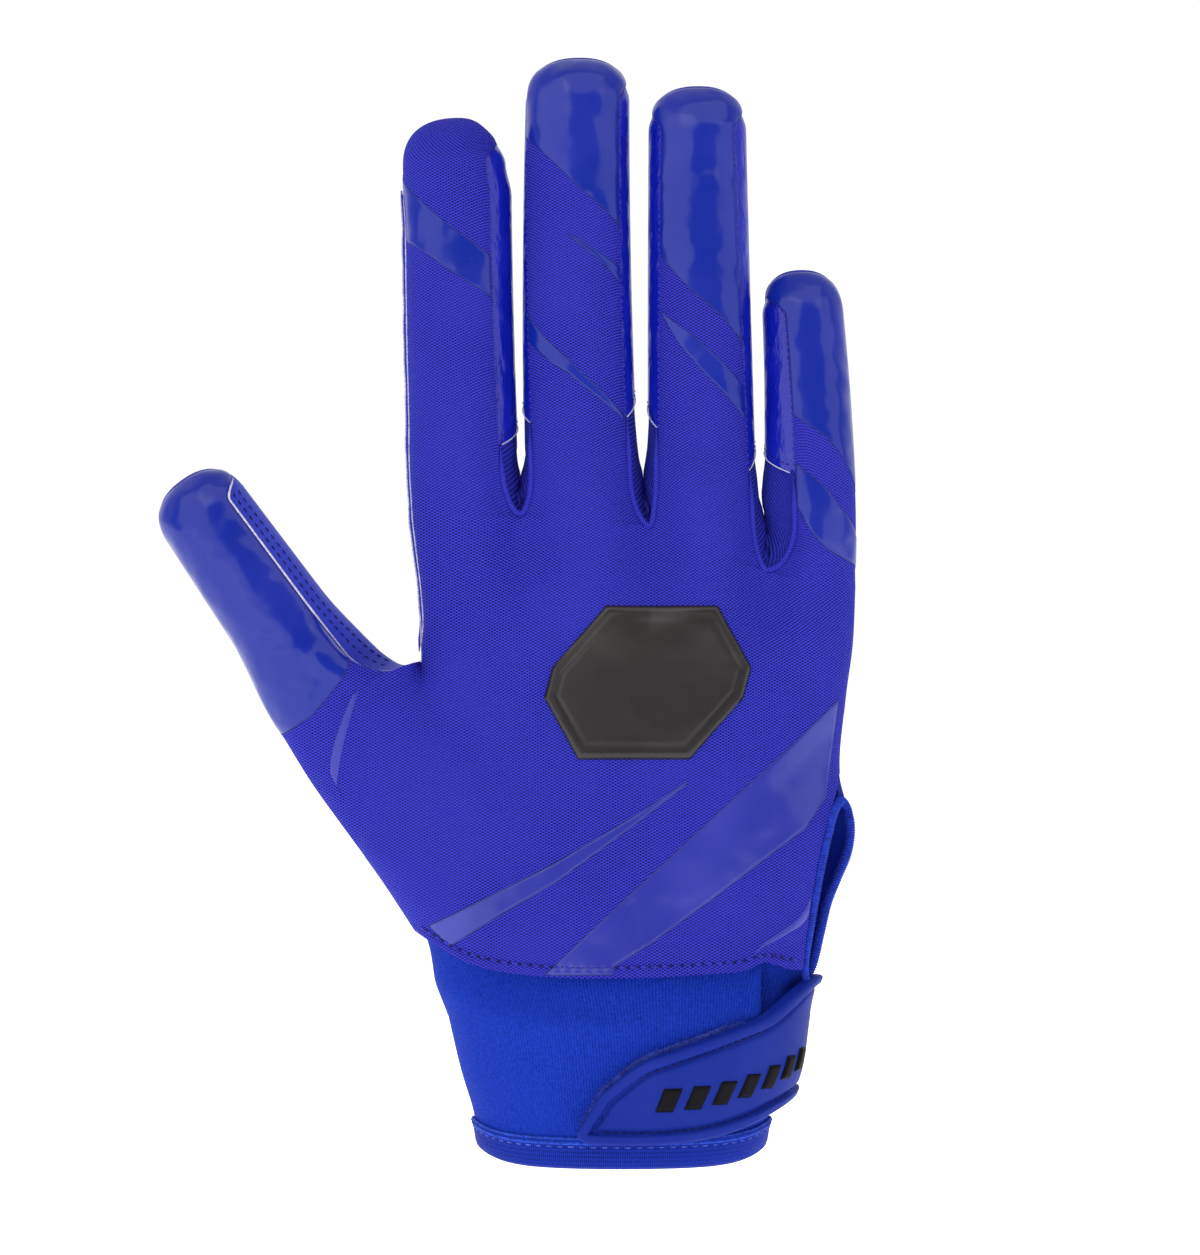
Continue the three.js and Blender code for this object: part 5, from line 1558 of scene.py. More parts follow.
HAND_FILMS = (
    HandFilm("film_hand_wide", ((0.492, 0.620, 0.462, 0.404), (0.401, 0.536, 0.413, 0.334),
                                (0.315, 0.459, 0.356, 0.294), (0.136, 0.297, 0.204, 0.181),
                                (-0.058, 0.119, 0.070, 0.087), (-0.139, 0.043, -0.007, 0.041),
                                (-0.165, 0.019, -0.012, 0.021))),
    HandFilm("film_hand_narrow", ((0.154, 0.444, 0.149, 0.432), (0.048, 0.374, 0.046, 0.353),
                                  (-0.137, 0.265, -0.137, 0.221), (-0.283, 0.192, -0.261, 0.149),
                                  (-0.420, 0.124, -0.372, 0.078))),
)
BADGE = HandFilm("back_badge", ((0.295, 0.690, 0.277, 0.624), (0.220, 0.826, 0.158, 0.489),
                                (0.096, 0.826, 0.034, 0.489), (-0.027, 0.826, -0.089, 0.489),
                                (-0.146, 0.690, -0.164, 0.624)))
SLIVERS = (
    ("gloss_thumb_sliver", ((-50.7, 103.2), (-53.3, 97.7), (-55.4, 92.0), (-57.0, 86.5), (-57.8, 81.0),
                            (-58.0, 75.3)), 1.9),
    ("gloss_heel_sliver", ((26.8, 43.6), (29.2, 46.8), (33.4, 49.4), (36.9, 51.6), (38.8, 54.4),
                           (39.6, 57.0)), 1.4),
)


@dataclass
class GlossFilms:
    """The tapered glossy stripes fused to the back panel, and the plain raised badge."""

    form: HandForm
    thickness: float = 0.13
    edge: float = 0.6
    straight_share: float = 0.6
    tip_reach: float = 0.94
    badge_height: float = 0.62
    badge_bevel: float = 0.7
    badge_groove: tuple[float, float, float] = (0.16, 2.4, 0.38)
    badge_crown: float = 0.25

    def film_grid(self, points: Array) -> Patch:
        """Grid of a film whose cloth coordinate is the distance from the film's edge."""
        distance = Patch.grid(points).edge_distance().reshape(points.shape[:2])
        return Patch.grid(points, np.stack([distance, np.zeros_like(distance)], axis=-1))

    def finger_base(self, film: FingerFilm, steps: int = 34, spans: int = 30) -> tuple[Patch, Array]:
        """Grid on a digit's back panel between the film's edges, and the directions off it."""
        stations = np.array([row[0] for row in film.rows])
        across = np.linspace(stations[0], stations[-1], spans + 1)
        tipped = film.rows[0][2] is None
        low = along_table(stations, np.array([row[1] for row in film.rows]), across) * FINGER_LENGTH
        k0 = self.form.share_at_height(film.digit, across, low)
        share = np.linspace(0, 1, steps + 1)[:, None]
        if tipped:
            turned = (share - self.straight_share) / (1 - self.straight_share) * math.pi / 2
            straight = lerp(k0[None], 1.0, share / self.straight_share)
            k = np.where(share < self.straight_share, straight, 1 + self.tip_reach * np.sin(turned))
        else:
            high = along_table(stations, np.array([row[2] for row in film.rows]), across) * FINGER_LENGTH
            k = lerp(k0[None], self.form.share_at_height(film.digit, across, high)[None], share)
        t = np.broadcast_to(across[None], k.shape)
        points = self.form.digit(Side.BACK, film.digit, t, k)
        normals = self.form.digit_normal(Side.BACK, film.digit, t, k)
        return self.film_grid(points), normals.reshape(-1, 3)

    def hand_base(self, film: HandFilm, steps: int = 40, spans: int = 100) -> tuple[Patch, Array]:
        """Grid on the hand's back between the film's edges, and the directions off it."""
        at = np.linspace(0, len(film.rows) - 1, spans + 1)
        table = np.array(film.rows)
        edge = np.stack([np.interp(at, np.arange(len(table)), table[:, i]) for i in range(4)])
        share = np.linspace(0, 1, steps + 1)[:, None]
        x = lerp(edge[2], edge[0], share) * HAND_WIDTH
        z = lerp(edge[3], edge[1], share) * PALM_LENGTH + CUFF_HEIGHT
        return self.on_back(x, z)

    def on_back(self, x: Array, z: Array) -> tuple[Patch, Array]:
        """Film grid on the hand's back over planar places, and the directions off it."""
        u, v = self.form.find(x, z)
        foot_z = self.form.plane(Side.BACK, u, np.zeros_like(u))[1]
        points = self.form.folded_edge(self.form.body(Side.BACK, u, v), foot_z)
        return self.film_grid(points), self.form.body_normal(Side.BACK, u, v).reshape(-1, 3)

    def sliver(self, line: tuple[tuple[float, float], ...], width: float) -> tuple[Patch, Array]:
        """Grid for a narrow curved film along a line of x and z in millimetres."""
        points = np.array(line)
        steps = 41
        at = np.linspace(0, len(points) - 1, steps)
        x, z = through(points[:, 0], at), through(points[:, 1], at)
        slope = unit(np.stack([np.gradient(x), np.gradient(z)], axis=-1))
        taper = width * np.sin(np.pi * np.linspace(0.06, 0.99, steps) ** 1.5) ** 0.8 / 2
        share = np.linspace(-1, 1, 7)[:, None]
        return self.on_back(x - share * taper * slope[:, 1], z + share * taper * slope[:, 0])

    def dress(self, wardrobe: Wardrobe) -> None:
        """Makes every film, the slivers and the badge."""
        for film in FINGER_FILMS:
            self.hang_film(wardrobe, film.node, *self.finger_base(film))
        for film in HAND_FILMS:
            self.hang_film(wardrobe, film.node, *self.hand_base(film))
        for name, line, width in SLIVERS:
            base, normals = self.sliver(line, width)
            top = FILM_LIP + self.thickness * smooth(base.edge_distance() / 0.5)
            wardrobe.hang(name, base.raised(normals, top, FILM_SUNK), PRESSED_RIDGE)
        base, normals = self.hand_base(BADGE)
        distance = base.edge_distance()
        depth, inset, width = self.badge_groove
        groove = depth * np.exp(-(((distance - inset) / width) ** 2))
        crown = self.badge_crown * smooth(distance / 14)
        top = 0.05 + self.badge_height * smooth(distance / self.badge_bevel) - groove + crown
        plate = base.raised(normals, top, FILM_SUNK)
        wardrobe.hang("badge_plate", plate, BLACK_GLOSS, [BADGE.node])

    def hang_film(self, wardrobe: Wardrobe, node: str, base: Patch, normals: Array) -> None:
        """Raises one film with softly rounded edges and hangs it."""
        top = FILM_LIP + self.thickness * smooth(base.edge_distance() / self.edge)
        piece = base.raised(normals, top, FILM_SUNK)
        finish = MILKY_GLOSS if node.startswith("film_hand") else GLOSS
        wardrobe.hang(node.replace("film_", "gloss_"), piece, finish, [node])


@dataclass
class RawEdges:
    """White cut edges along the index finger and the thumb, and the stitch rows beside the thumb seam."""

    form: HandForm
    strip: float = 0.24

    def ribbon(self, path: Array, up: Array, radius: float) -> Patch:
        """Slim strip with tapered ends along a seam."""
        length = arc_length(path)
        ends = smooth(np.minimum(length, length[-1] - length) / 3)
        return sweep(path, up, circle(8, radius, 0.8), 0.3 + 0.7 * ends)

    def dress(self, wardrobe: Wardrobe) -> None:
        """Makes the edges and rows."""
        front = np.array([0.0, -1.0, 0.0])
        strips = []
        k = np.linspace(0.05, 0.93, 160)
        seam = self.form.digit(Side.BACK, 1, np.zeros_like(k), k)
        rows = np.linspace(FINGER_ROW, 4.15, 40)
        lower = self.form.body(Side.BACK, np.full_like(rows, 1.0), rows)
        path = np.concatenate([lower[::-1], seam])
        path = path[distinct(path)]
        up = np.tile(front, (len(path), 1))
        length = arc_length(path)[:, None]
        wobble = 0.16 * np.sin(length / 3.1) + 0.1 * np.sin(length / 1.3)
        sideways = np.array([-1.0, 0.0, 0.0])
        for out, forward, radius in ((0.10, 0.12, 0.16), (0.78, 0.05, 0.17)):
            shift = (sideways * out + front * forward) * smooth(length / 9)
            strips.append(self.ribbon(path + shift + sideways * wobble * out * 0.5, up, radius))
        wardrobe.hang("index_raw_edges", Patch.joined(strips), RAW)
        between = self.ribbon(path + np.array([-0.42, 0.30, 0.0]), up, 0.42)
        wardrobe.hang("index_seam_fold", between, PALM)
        k = np.concatenate([np.linspace(1.5, 1.0, 30), np.linspace(0.99, 0.0, 150) ** 1.4])
        one = np.ones_like(k)
        seam = self.form.digit(Side.BACK, 0, one, k)
        normal = self.form.digit_normal(Side.BACK, 0, one, k)
        keep = distinct(seam)
        edge = self.ribbon((seam + normal * 0.12)[keep], normal[keep], self.strip)
        wardrobe.hang("thumb_raw_edge", edge, RAW)
        thread_rows = []
        for share in (0.905, 0.955):
            k = np.linspace(1.15, 0.06, 120)
            across = np.full_like(k, share)
            line = self.form.digit(Side.PALM, 0, across, k)
            facing = self.form.digit_normal(Side.PALM, 0, across, k)
            thread_rows.append(stitches(line + facing * 0.02, facing, 1.9, (0.62, 0.18, 0.14)))
        wardrobe.hang("thumb_stitch_rows", Patch.joined(thread_rows), PIT_SHADE)


@dataclass
class Cuff:
    """Stretch cuff with its hem tape, piping, seam stitches and the pleat beside the vent."""

    form: CuffForm
    around: int = 360
    height_rows: int = 64
    pleat_x: float = 28.8
    pleat_depth: float = 3.6
    hand_clearance: float = 0.65
    hem_leg: float = CUFF_HEIGHT * 0.115
    hem_out: float = 0.5

    def angles(self) -> Array:
        """Even angles round the wrist."""
        return np.linspace(0, 2 * math.pi, self.around, endpoint=False)

    def sleeve(self) -> Patch:
        """Closed tube wall of the cuff: up the outside, under the hand panels, down the inside."""
        angle = self.angles()
        bottom = self.form.ring(angle, np.full_like(angle, 3.0))[:, 2]
        foot = self.form.foot(angle)
        inset = max(KNIT_WALL, PALM_WALL) + self.hand_clearance
        rows = []
        for share in np.linspace(0, 1, self.height_rows):
            z = lerp(bottom, foot[:, 2] - 0.9, share)
            point = self.form.surface(angle, z)
            tuck = smooth((share - 0.80) / 0.20)
            point = point - self.form.outward(angle) * (tuck * inset)[..., None]
            rows.append(self.with_pleat(point, angle))
        outward = self.form.outward(angle)
        beside_vent = np.exp(-(((angle - math.pi / 2) / 0.4) ** 2))
        foot[:, 2] += 1.6 + 1.8 * beside_vent
        rows.append(foot - outward * inset)
        outer = np.array(rows)
        inner = (outer - outward[None] * CUFF_WALL)[::-1]
        loop = np.concatenate([outer, inner])
        around = arc_length(np.concatenate([outer[10], outer[10][:1]]))
        closed = np.concatenate([loop, loop[:1]])
        height = np.concatenate([closed[..., 2], closed[:, :1, 2]], axis=1)
        cloth = np.stack(np.broadcast_arrays(around[None], height), axis=-1)
        return Patch.grid(closed, cloth, closed=True).welded()

    def with_pleat(self, point: Array, angle: Array) -> Array:
        """Presses a vertical fold into the cuff near the vent, deepest at the seam."""
        front = np.cos(angle) > 0
        past = point[:, 0] - self.pleat_x
        shape = smooth(past / 0.9) * np.exp(-np.maximum(0, past - 1.2) / 2.4) * front
        swell = 0.8 * np.exp(-(((past + 1.2) / 1.3) ** 2)) * front
        fade = smooth((point[:, 2] - 27.5) / 7)
        step = (fade * (shape * self.pleat_depth - swell))[:, None]
        return point - self.form.outward(angle) * step

    def hem(self) -> Patch:
        """Tape folded round the lower edge: outer leg, round fold and inner leg, as one closed ring."""
        angle = self.angles()
        outward = self.form.outward(angle)
        bottom = self.form.ring(angle, np.full_like(angle, 3.0))
        turn = np.linspace(0, math.pi, 12)
        outer, inner = self.hem_out, -(CUFF_WALL + 1.3)
        middle, radius = (outer + inner) / 2, (outer - inner) / 2
        profile = [(0.25, self.hem_leg), (0.9, self.hem_leg + 0.05), (outer, self.hem_leg - 0.5)]
        profile += [(outer + 0.12, up) for up in np.linspace(self.hem_leg - 1.2, 0.4, 5)]
        profile += [(middle + radius * math.cos(a), -1.35 * math.sin(a)) for a in turn]
        inside = inner + 0.9
        profile += [(inner, self.hem_leg * 0.8), (inside, self.hem_leg * 0.8), (inside, 0.1), (0.25, -0.2)]
        rows = []
        for out, up in profile:
            lift = bottom[:, 2] + max(0.0, up)
            base = self.form.ring(angle, self.form.ring_at(angle, lift))
            level = base + outward * out
            level[:, 2] = bottom[:, 2] + up
            rows.append(level)
        rows = np.array(rows + rows[:1])
        around = arc_length(np.concatenate([bottom, bottom[:1]]))
        along = arc_length(np.array([[out, up] for out, up in profile + profile[:1]]))
        cloth = np.stack(np.broadcast_arrays(around[None], along[:, None]), axis=-1)
        return Patch.grid(rows, cloth, closed=True).welded()

    def level_line(self, up: float, out: float, stretch: float = 1.0) -> tuple[Array, Array]:
        """Closed line round the cuff at a height above its lower edge, and the outward directions."""
        angle = np.linspace(0, 2 * math.pi * stretch, self.around * 2 + 1)
        outward = self.form.outward(angle)
        bottom = self.form.ring(angle, np.full_like(angle, 3.0))
        base = self.form.ring(angle, self.form.ring_at(angle, bottom[:, 2] + up))
        base[:, 2] = bottom[:, 2] + up
        return base + outward * out, outward

    def piping(self) -> Patch:
        """Two fine cords round the top of the hem, closed rings joined."""
        rings = []
        for up, radius in ((self.hem_leg + 0.25, 0.36), (self.hem_leg - 0.55, 0.34)):
            path, outward = self.level_line(up, 0.40 if up > self.hem_leg else self.hem_out + 0.02)
            path, outward = path[:-1], outward[:-1]
            level = np.array([0.0, 0.0, 1.0])
            profile = circle(8, radius)
            ring = path[:, None] + outward[:, None] * profile[:, :1] + level * profile[:, 1:]
            closed = np.concatenate([ring, ring[:1]])
            rings.append(Patch.grid(closed, closed=True).welded())
        return Patch.joined(rings)

    def seam_line(self, above: float) -> tuple[Array, Array]:
        """Line on the back panel at a height above its lower edge, and the outward directions."""
        hand = self.form.hand
        u = np.linspace(0.12, 4.94, 400)
        edge_x, edge_z = hand.plane(Side.BACK, u, np.zeros_like(u))
        found_u, found_v = hand.find(edge_x, edge_z + above)
        line = hand.folded_edge(hand.body(Side.BACK, found_u, found_v), edge_z)
        return line, hand.body_normal(Side.BACK, found_u, found_v)

    def dress(self, wardrobe: Wardrobe) -> None:
        """Makes the cuff, its hem, piping and stitches, with dark beads of painted shade in the seam's needle
        pits.
        """
        wardrobe.hang("cuff_sleeve", self.sleeve(), CUFF_KNIT, ["cuff"])
        wardrobe.hang("hem_fold", self.hem(), HEM_TAPE, ["hem_binding"])
        wardrobe.hang("hem_piping", self.piping(), CORD_WITH_PAINTED_HIGHLIGHT)
        path, outward = self.level_line(self.hem_leg - 1.25, self.hem_out + 0.08)
        row = stitches(path, outward, 2.3, (0.70, 0.20, 0.20))
        wardrobe.hang("hem_stitches", row, LIGHT_STITCH)
        line, normal = self.seam_line(SEAM_RISE)
        places, forward, up = spaced(line + normal * 0.14, normal, SEAM_PITCH)
        side = unit(np.cross(forward, up))
        slanted = unit(forward + side * 0.38)
        row = spread_beads(places, slanted, up, (0.74, 0.26, 0.26))
        wardrobe.hang("cuff_seam_stitches", row, STITCH)
        # Dark beads between the seam stitches: painted shade in the needle pits.
        between = places[:-1] + np.diff(places, axis=0) / 2 + side[:-1] * 0.1 - up[:-1] * 0.08
        pit_shade_beads = spread_beads(between, forward[:-1], up[:-1], (0.40, 0.46, 0.18))
        wardrobe.hang("cuff_seam_pit_shade", pit_shade_beads, PIT_SHADE)


@dataclass
class Vent:
    """Overlocked roll round the vent: up the back panel's cut edge and down the palm's."""

    form: HandForm
    radius: float = 0.98
    gap: float = 0.24
    thread_pitch: float = 0.5
    thread_relief: float = 0.13
    slimmest: float = 0.72
    palm_pull: float = 0.6
    back_end: tuple[float, float, float] = (0.6, 1.9, -3.4)
    palm_end: tuple[float, float, float] = (-2.6, 0.0, -4.2)

    def path(self) -> Array:
        """Centre line of the roll: up the back edge, over the top and down the palm edge."""
        stations = np.array([0.02, 0.5, 0.9, 1.3, 1.7, 2.1, 2.4, 2.55])
        back, palm = (self.form.body(side, np.full_like(stations, 5.0), stations) for side in Side)
        apex = (back[-1:] + palm[-1:]) / 2
        back, palm = back[:-1], palm[:-1]
        clearance = unit(palm - back) * (self.radius + self.gap)
        palm[0, 0] -= self.palm_pull
        back, palm = back + clearance, palm - clearance
        low_back = back[:1] + np.array(self.back_end)
        low_palm = palm[:1] + np.array(self.palm_end)
        rough = np.concatenate([low_back, back, apex, palm[::-1], low_palm])
        at = np.linspace(0, len(rough) - 1, 900)
        return np.stack([through(rough[:, i], at) for i in range(3)], axis=-1)

    def dress(self, wardrobe: Wardrobe) -> None:
        """Makes the roll, slimmer at its start, with its threads winding round it as ribs."""
        path = self.path()
        turn = np.linspace(0, 2 * math.pi, 14, endpoint=False)
        length = arc_length(path)[:, None]
        ribs = 1 + self.thread_relief * np.cos(2 * math.pi * length / self.thread_pitch + turn[None])
        radius = self.radius * ribs * lerp(self.slimmest, 1, smooth((length - 3) / 16))
        profile = np.stack([radius * np.cos(turn), radius * np.sin(turn)], axis=-1)
        sideways = np.tile(np.array([1.0, 0.0, 0.0]), (len(path), 1))
        roll = sweep(path, sideways, profile)
        wardrobe.hang("vent_overlock_roll", roll, THREAD, ["vent_binding"])


@dataclass
class WristStrap:
    """Moulded rubber strap with raised rim and sewn groove, its hook patch and plain raised bars."""

    form: CuffForm
    base: float = 1.5
    thickness: float = 2.2
    rim_height: float = 0.9
    rim_width: float = 2.3
    groove_width: float = 0.55
    groove_depth: float = 0.55
    hook_base: float = 0.3
    hook_wall: float = 0.9
    flare: float = 0.55
    bar_count: int = 7
    bar_span: tuple[float, float] = (10.0, 80.0)
    bar_width: float = 3.7
    bar_slant: float = 1.4
    bar_low: float = 0.17
    bar_tall: float = 0.12
    bar_sunk: float = 0.15
    hook_count: int = 520

    @property
    def groove_at(self) -> float:
        """Distance of the sewn groove from the strap's edge."""
        return self.rim_width + 0.35

    def ground(self, angle: Array, z: Array) -> Array:
        """Surface that the strap lies over: the cuff's, with only part of its flare."""
        angle, z = np.broadcast_arrays(np.asarray(angle, float), np.asarray(z, float))
        top = self.form.ring(angle, np.zeros(angle.shape))[..., 2]
        level = self.form.surface(angle, np.minimum(z, top))
        point = lerp(level, self.form.surface(angle, z), self.flare)
        point[..., 2] = z
        return point

    def height_share(self, angle: Array) -> Array:
        """How thick the strap is against its thickness at the front."""
        return 1 - 0.12 * smooth((np.degrees(angle) - 50) / 35)

    def grid_places(self, spans: int, steps: int) -> tuple[Array, Array]:
        """Angles and heights of a grid over the strap, close together at both long edges."""
        share = np.linspace(0, 1, spans + 1)
        angle = np.radians(lerp(STRAP_ROWS[0, 0], STRAP_ROWS[-1, 0], share**1.25))
        low, high = self.form.strap_edges(angle)
        even = np.linspace(0, 1, steps + 1)
        across = lerp(0.5 - 0.5 * np.cos(math.pi * even), even, 0.25)
        z = lerp(low[None], high[None], across[:, None])
        return np.broadcast_to(angle[None], z.shape), z

    def band(self) -> Patch:
        """Closed strap: a rounded raised rim all round, a groove inside it and a flat field."""
        angle, z = self.grid_places(230, 56)
        foot = self.ground(angle, z)
        outward = self.form.outward(angle)
        cloth = np.stack([np.broadcast_to(arc_length(foot[20])[None], z.shape), z], axis=-1)
        ground = Patch.grid(foot + outward * self.base, cloth)
        distance = ground.edge_distance()
        round_over = arch(distance / 0.8)
        rim = self.rim_height * (1 - smooth((distance - self.rim_width + 0.35) / 0.5))
        groove = self.groove_depth * np.exp(-(((distance - self.groove_at) / self.groove_width) ** 2))
        top = (self.thickness + rim) * (0.42 + 0.58 * round_over) - groove
        top = top * self.height_share(angle).reshape(-1)
        return ground.raised(outward.reshape(-1, 3), top)

    def groove_path(self) -> tuple[Array, Array]:
        """Line inside the rim where the strap is sewn, from the tip along both long edges."""
        angle = np.radians(np.linspace(-7.0, 172, 420))
        low, high = self.form.strap_edges(angle)
        top = high - self.groove_at * 1.06
        bottom = low + self.groove_at
        keep = top > bottom + 0.4
        angle, top, bottom = angle[keep], top[keep], bottom[keep]
        turned = np.concatenate([angle[::-1], angle])
        z = np.concatenate([top[::-1], bottom])
        points = self.ground(turned, z)
        outward = self.form.outward(turned)
        out = self.base + (self.thickness - 0.42) * self.height_share(turned)
        return points + outward * out[:, None], outward

    def bar(self, number: int) -> Patch:
        """Plain slanted raised bar on the strap's field, with rounded edges."""
        share = (number + 0.5) / self.bar_count
        angle = math.radians(lerp(*self.bar_span, share))
        radius = CUFF_RINGS[2][0] * WRIST_WIDTH + self.base + self.thickness
        low, _ = self.form.strap_edges(np.array([angle]))
        turn = np.linspace(-1, 1, 13)[None, :] * (self.bar_width / 2 / radius)
        up = np.linspace(0, 1, 17)[:, None]
        z = low[0] + (self.bar_low + up * self.bar_tall) * CUFF_HEIGHT
        where = angle + turn + self.bar_slant / radius * (up - 0.5)
        foot = self.ground(where, z)
        outward = self.form.outward(where)
        out = self.base + self.thickness * self.height_share(where)
        ground = Patch.grid(foot + outward * out[..., None])
        top = 0.12 + 0.55 * smooth(ground.edge_distance() / 0.55)
        return ground.raised(outward.reshape(-1, 3), top, self.bar_sunk)

    def hook_patch(self) -> Patch:
        """Hook tape under the strap's tip."""
        angle = np.radians(np.linspace(-14, 44, 70))[None]
        low, high = self.form.strap_edges(angle)
        z = lerp(low + 0.04 * CUFF_HEIGHT, high + 0.02 * CUFF_HEIGHT, np.linspace(0, 1, 24)[:, None])
        angle = np.broadcast_to(angle, z.shape)
        outward = self.form.outward(angle)
        foot = self.form.surface(angle, z) + outward * (self.hook_base + self.hook_wall)
        return Patch.grid(foot).shell(1.0, -outward.reshape(-1, 3) * self.hook_wall)

    def hooks(self) -> Patch:
        """Hooked bristles standing out along the strap's upper edge, as bent tapering hairs."""
        random = np.random.default_rng(7)
        count = self.hook_count
        degrees = -15.5 + 58 * random.random(count) ** 1.15
        angle = np.radians(degrees)
        z = self.form.strap_edges(angle)[1] + 0.5 - 1.1 * random.random(count)
        root = self.form.surface(angle, z)
        outward = self.form.outward(angle)
        root = root + outward * (self.hook_base + 0.2 + 1.0 * random.random(count))[:, None]
        slope = math.pi / 2 + 0.9 * (1 - smooth((degrees + 12) / 40)) + 0.8 * (random.random(count) - 0.5)
        level = np.stack([np.cos(angle), np.sin(angle) * 0.6, np.zeros(count)], axis=-1)
        lean = unit(level * np.cos(slope)[:, None] + np.array([0, 0, 1.0]) * np.sin(slope)[:, None])
        return self.hair(root, lean, outward, 0.55 + 0.5 * random.random(count))

    def hair(self, root: Array, lean: Array, outward: Array, length: Array) -> Patch:
        """Bent hairs: four square rings along a quarter bend, from thick to thin."""
        share = np.linspace(0, 1, 5)
        corner = np.array([[1, 1], [-1, 1], [-1, -1], [1, -1]]) * 0.075
        side = unit(np.cross(lean, outward))
        bend = root[:, None] + lean[:, None] * (share * length[:, None])[..., None]
        bend = bend + outward[:, None] * (0.35 * share**2 * length[:, None])[..., None]
        thick = (1.0 - 0.55 * share)[None, :, None, None]
        across, above = corner[:, :1], corner[:, 1:]
        rings = bend[:, :, None] + thick * (side[:, None, None] * across + outward[:, None, None] * above)
        each = [Patch.grid(ring, closed=True) for ring in rings]
        for patch in each:
            patch.caps = [np.arange(4)[::-1], 16 + np.arange(4)]
        return Patch.joined(each)

    def dress(self, wardrobe: Wardrobe) -> None:
        """Makes the strap, its sewing, its bars and the hook tape."""
        wardrobe.hang("strap_band", self.band(), RUBBER, ["strap"])
        sewing = stitches(*self.groove_path(), 1.75, (0.62, 0.17, 0.14))
        wardrobe.hang("strap_groove_stitches", sewing, PIT_SHADE)
        bars = Patch.joined([self.bar(number) for number in range(self.bar_count)])
        nodes = [f"strap_bar_{number + 1}" for number in range(self.bar_count)]
        wardrobe.hang("strap_raised_bars", bars, PRINT, nodes)
        wardrobe.hang("hook_tape_patch", self.hook_patch(), HOOKS, ["strap_hook_patch"])
        wardrobe.hang("hook_bristles", self.hooks(), HOOKS)


@dataclass(frozen=True)
class SoftBox:
    """Rectangular soft light in metres, aimed at the glove."""

    name: str
    place: tuple[float, float, float]
    size: tuple[float, float]
    watts: float


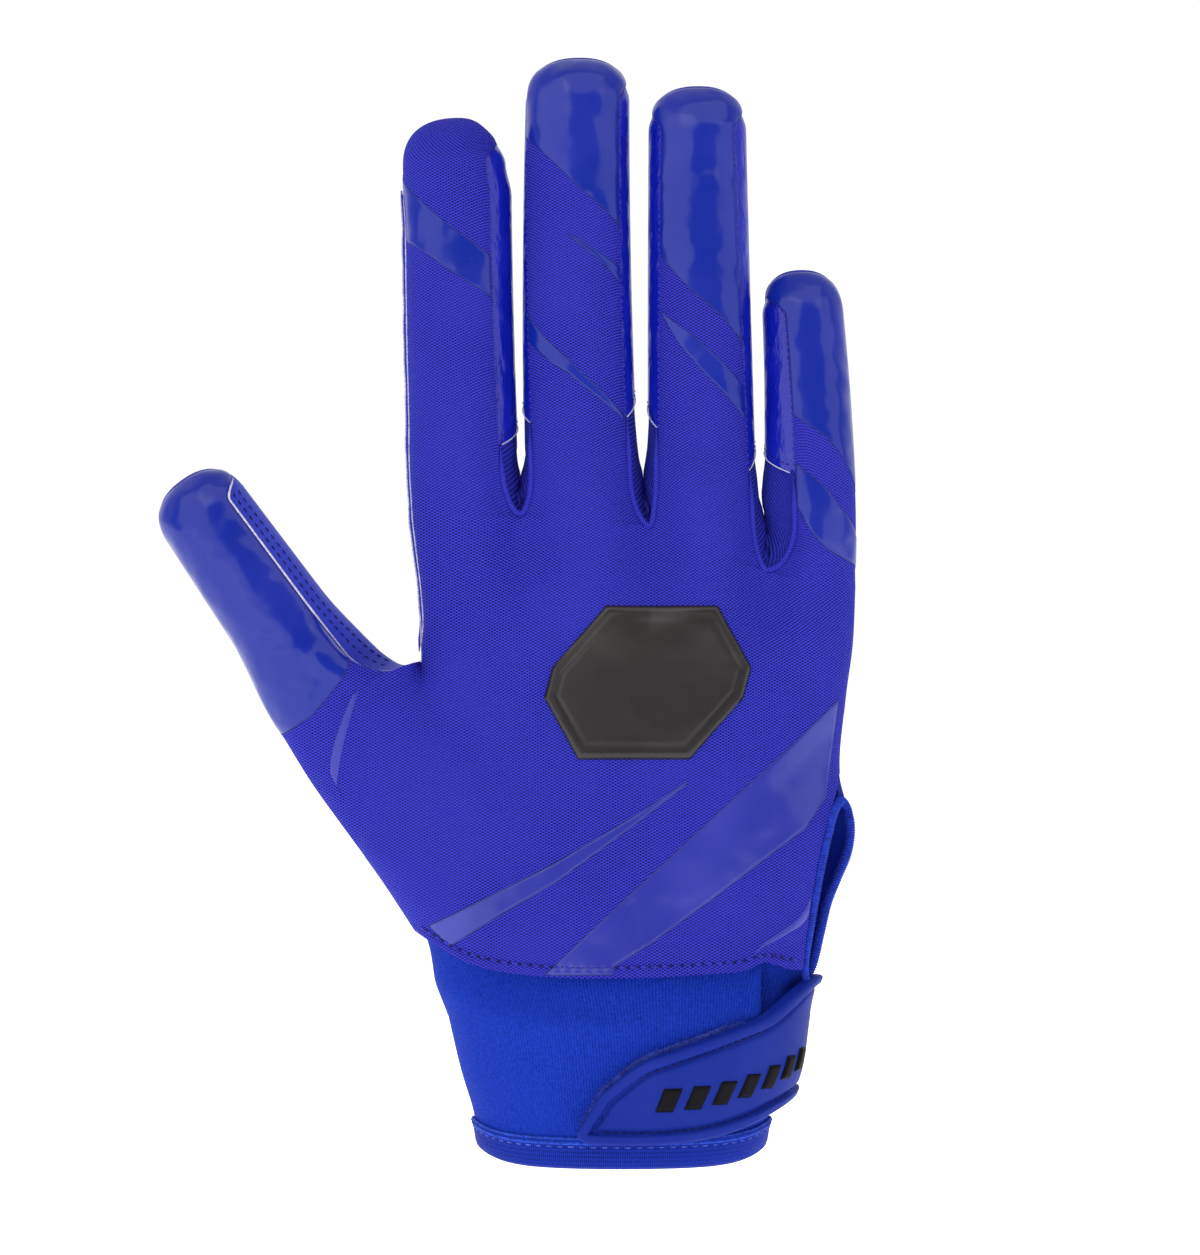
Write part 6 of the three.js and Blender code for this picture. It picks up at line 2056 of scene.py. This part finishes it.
@dataclass
class Studio:
    """White room, pale floor, soft boxes and the camera at the photograph's angle."""

    distance: float = 1.0
    view_height: float = 0.257275
    centre: tuple[float, float] = (-0.00369, 0.1112)
    floor_height: float = -0.014
    boxes: tuple[SoftBox, ...] = (
        SoftBox("key_box", (-1.15, -1.15, 0.85), (1.9, 2.1), 14.5),
        SoftBox("fill_box", (1.35, -0.75, 0.40), (1.1, 1.9), 6.0),
        SoftBox("top_box", (0.15, -0.75, 1.55), (2.2, 1.3), 9.0),
    )

    def floor(self) -> None:
        """Lays a wide pale floor just under the glove."""
        reach = np.linspace(-6, 6, 9) * 1000
        x, y = np.meshgrid(reach, reach)
        sheet = Patch.grid(np.stack([x, y, np.full_like(x, self.floor_height * 1000)], axis=-1))
        thing = sheet.shell(20.0).to_object("studio_floor")
        paint = Painter("pale_floor")
        tone = paint.mix(paint.noise(300.0), (0.90, 0.90, 0.90), (0.93, 0.93, 0.93))
        deep = paint.axis(1).step(-0.45, -0.05)
        glow = paint.mix(deep, (0.78, 0.78, 0.78), (1.0, 1.0, 1.0))
        thing.data.materials.append(paint.surface(
            Base_Color=tone, Roughness=0.9, Emission_Color=glow, Emission_Strength=0.8,
        ))

    def room(self) -> None:
        """White world, brightest behind the glove."""
        world = bpy.data.worlds.new("white_room")
        bpy.context.scene.world = world
        world.use_nodes = True
        tree = world.node_tree
        tree.nodes.clear()
        place = tree.nodes.new("ShaderNodeTexCoord")
        parts = tree.nodes.new("ShaderNodeSeparateXYZ")
        spread = tree.nodes.new("ShaderNodeMapRange")
        spread.interpolation_type = "SMOOTHSTEP"
        light = tree.nodes.new("ShaderNodeBackground")
        out = tree.nodes.new("ShaderNodeOutputWorld")
        for key, value in {"From Min": -0.3, "From Max": 0.75, "To Min": 0.28, "To Max": 1.04}.items():
            spread.inputs[key].default_value = value
        light.inputs["Color"].default_value = (1.0, 1.0, 1.0, 1.0)
        tree.links.new(place.outputs["Generated"], parts.inputs[0])
        tree.links.new(parts.outputs[1], spread.inputs["Value"])
        tree.links.new(spread.outputs["Result"], light.inputs["Strength"])
        tree.links.new(light.outputs[0], out.inputs[0])

    def lights(self) -> None:
        """Hangs the soft boxes, aimed at the middle of the glove."""
        target = np.array([self.centre[0], 0.0, self.centre[1]])
        for box in self.boxes:
            lamp = bpy.data.lights.new(box.name, "AREA")
            lamp.shape = "RECTANGLE"
            lamp.size, lamp.size_y = box.size
            lamp.energy = box.watts
            thing = bpy.data.objects.new(box.name, lamp)
            bpy.context.scene.collection.objects.link(thing)
            thing.location = box.place
            aim = Vector(target - np.array(box.place))
            thing.rotation_euler = aim.to_track_quat("-Z", "Y").to_euler()

    def camera(self) -> None:
        """Sets the camera level with the middle of the glove, looking from its back to its palm."""
        data = bpy.data.cameras.new("photo_camera")
        data.sensor_width = 36.0
        data.lens = 36.0 * self.distance / self.view_height
        data.clip_start = 0.01
        data.clip_end = 50.0
        thing = bpy.data.objects.new("photo_camera", data)
        bpy.context.scene.collection.objects.link(thing)
        thing.location = (self.centre[0], -self.distance, self.centre[1])
        thing.rotation_euler = (math.pi / 2, 0.0, 0.0)
        bpy.context.scene.camera = thing

    def build(self) -> None:
        """Makes the room, the floor, the lights and the camera, and keeps colours as they are."""
        self.room()
        self.floor()
        self.lights()
        self.camera()
        scene = bpy.context.scene
        scene.view_settings.view_transform = "Standard"
        scene.view_settings.look = "None"


def main() -> None:
    """Builds the glove's sub-assemblies in order, then the studio."""
    logging.basicConfig(level=logging.INFO, format="%(name)s %(message)s")
    wardrobe = Wardrobe()
    hand = HandForm()
    cuff_form = CuffForm(hand)
    HandPanels(hand).dress(wardrobe)
    FingerForks(hand).dress(wardrobe)
    GlossFilms(hand).dress(wardrobe)
    RawEdges(hand).dress(wardrobe)
    Cuff(cuff_form).dress(wardrobe)
    Vent(hand).dress(wardrobe)
    WristStrap(cuff_form).dress(wardrobe)
    Studio().build()


if __name__ == "__main__":
    main()
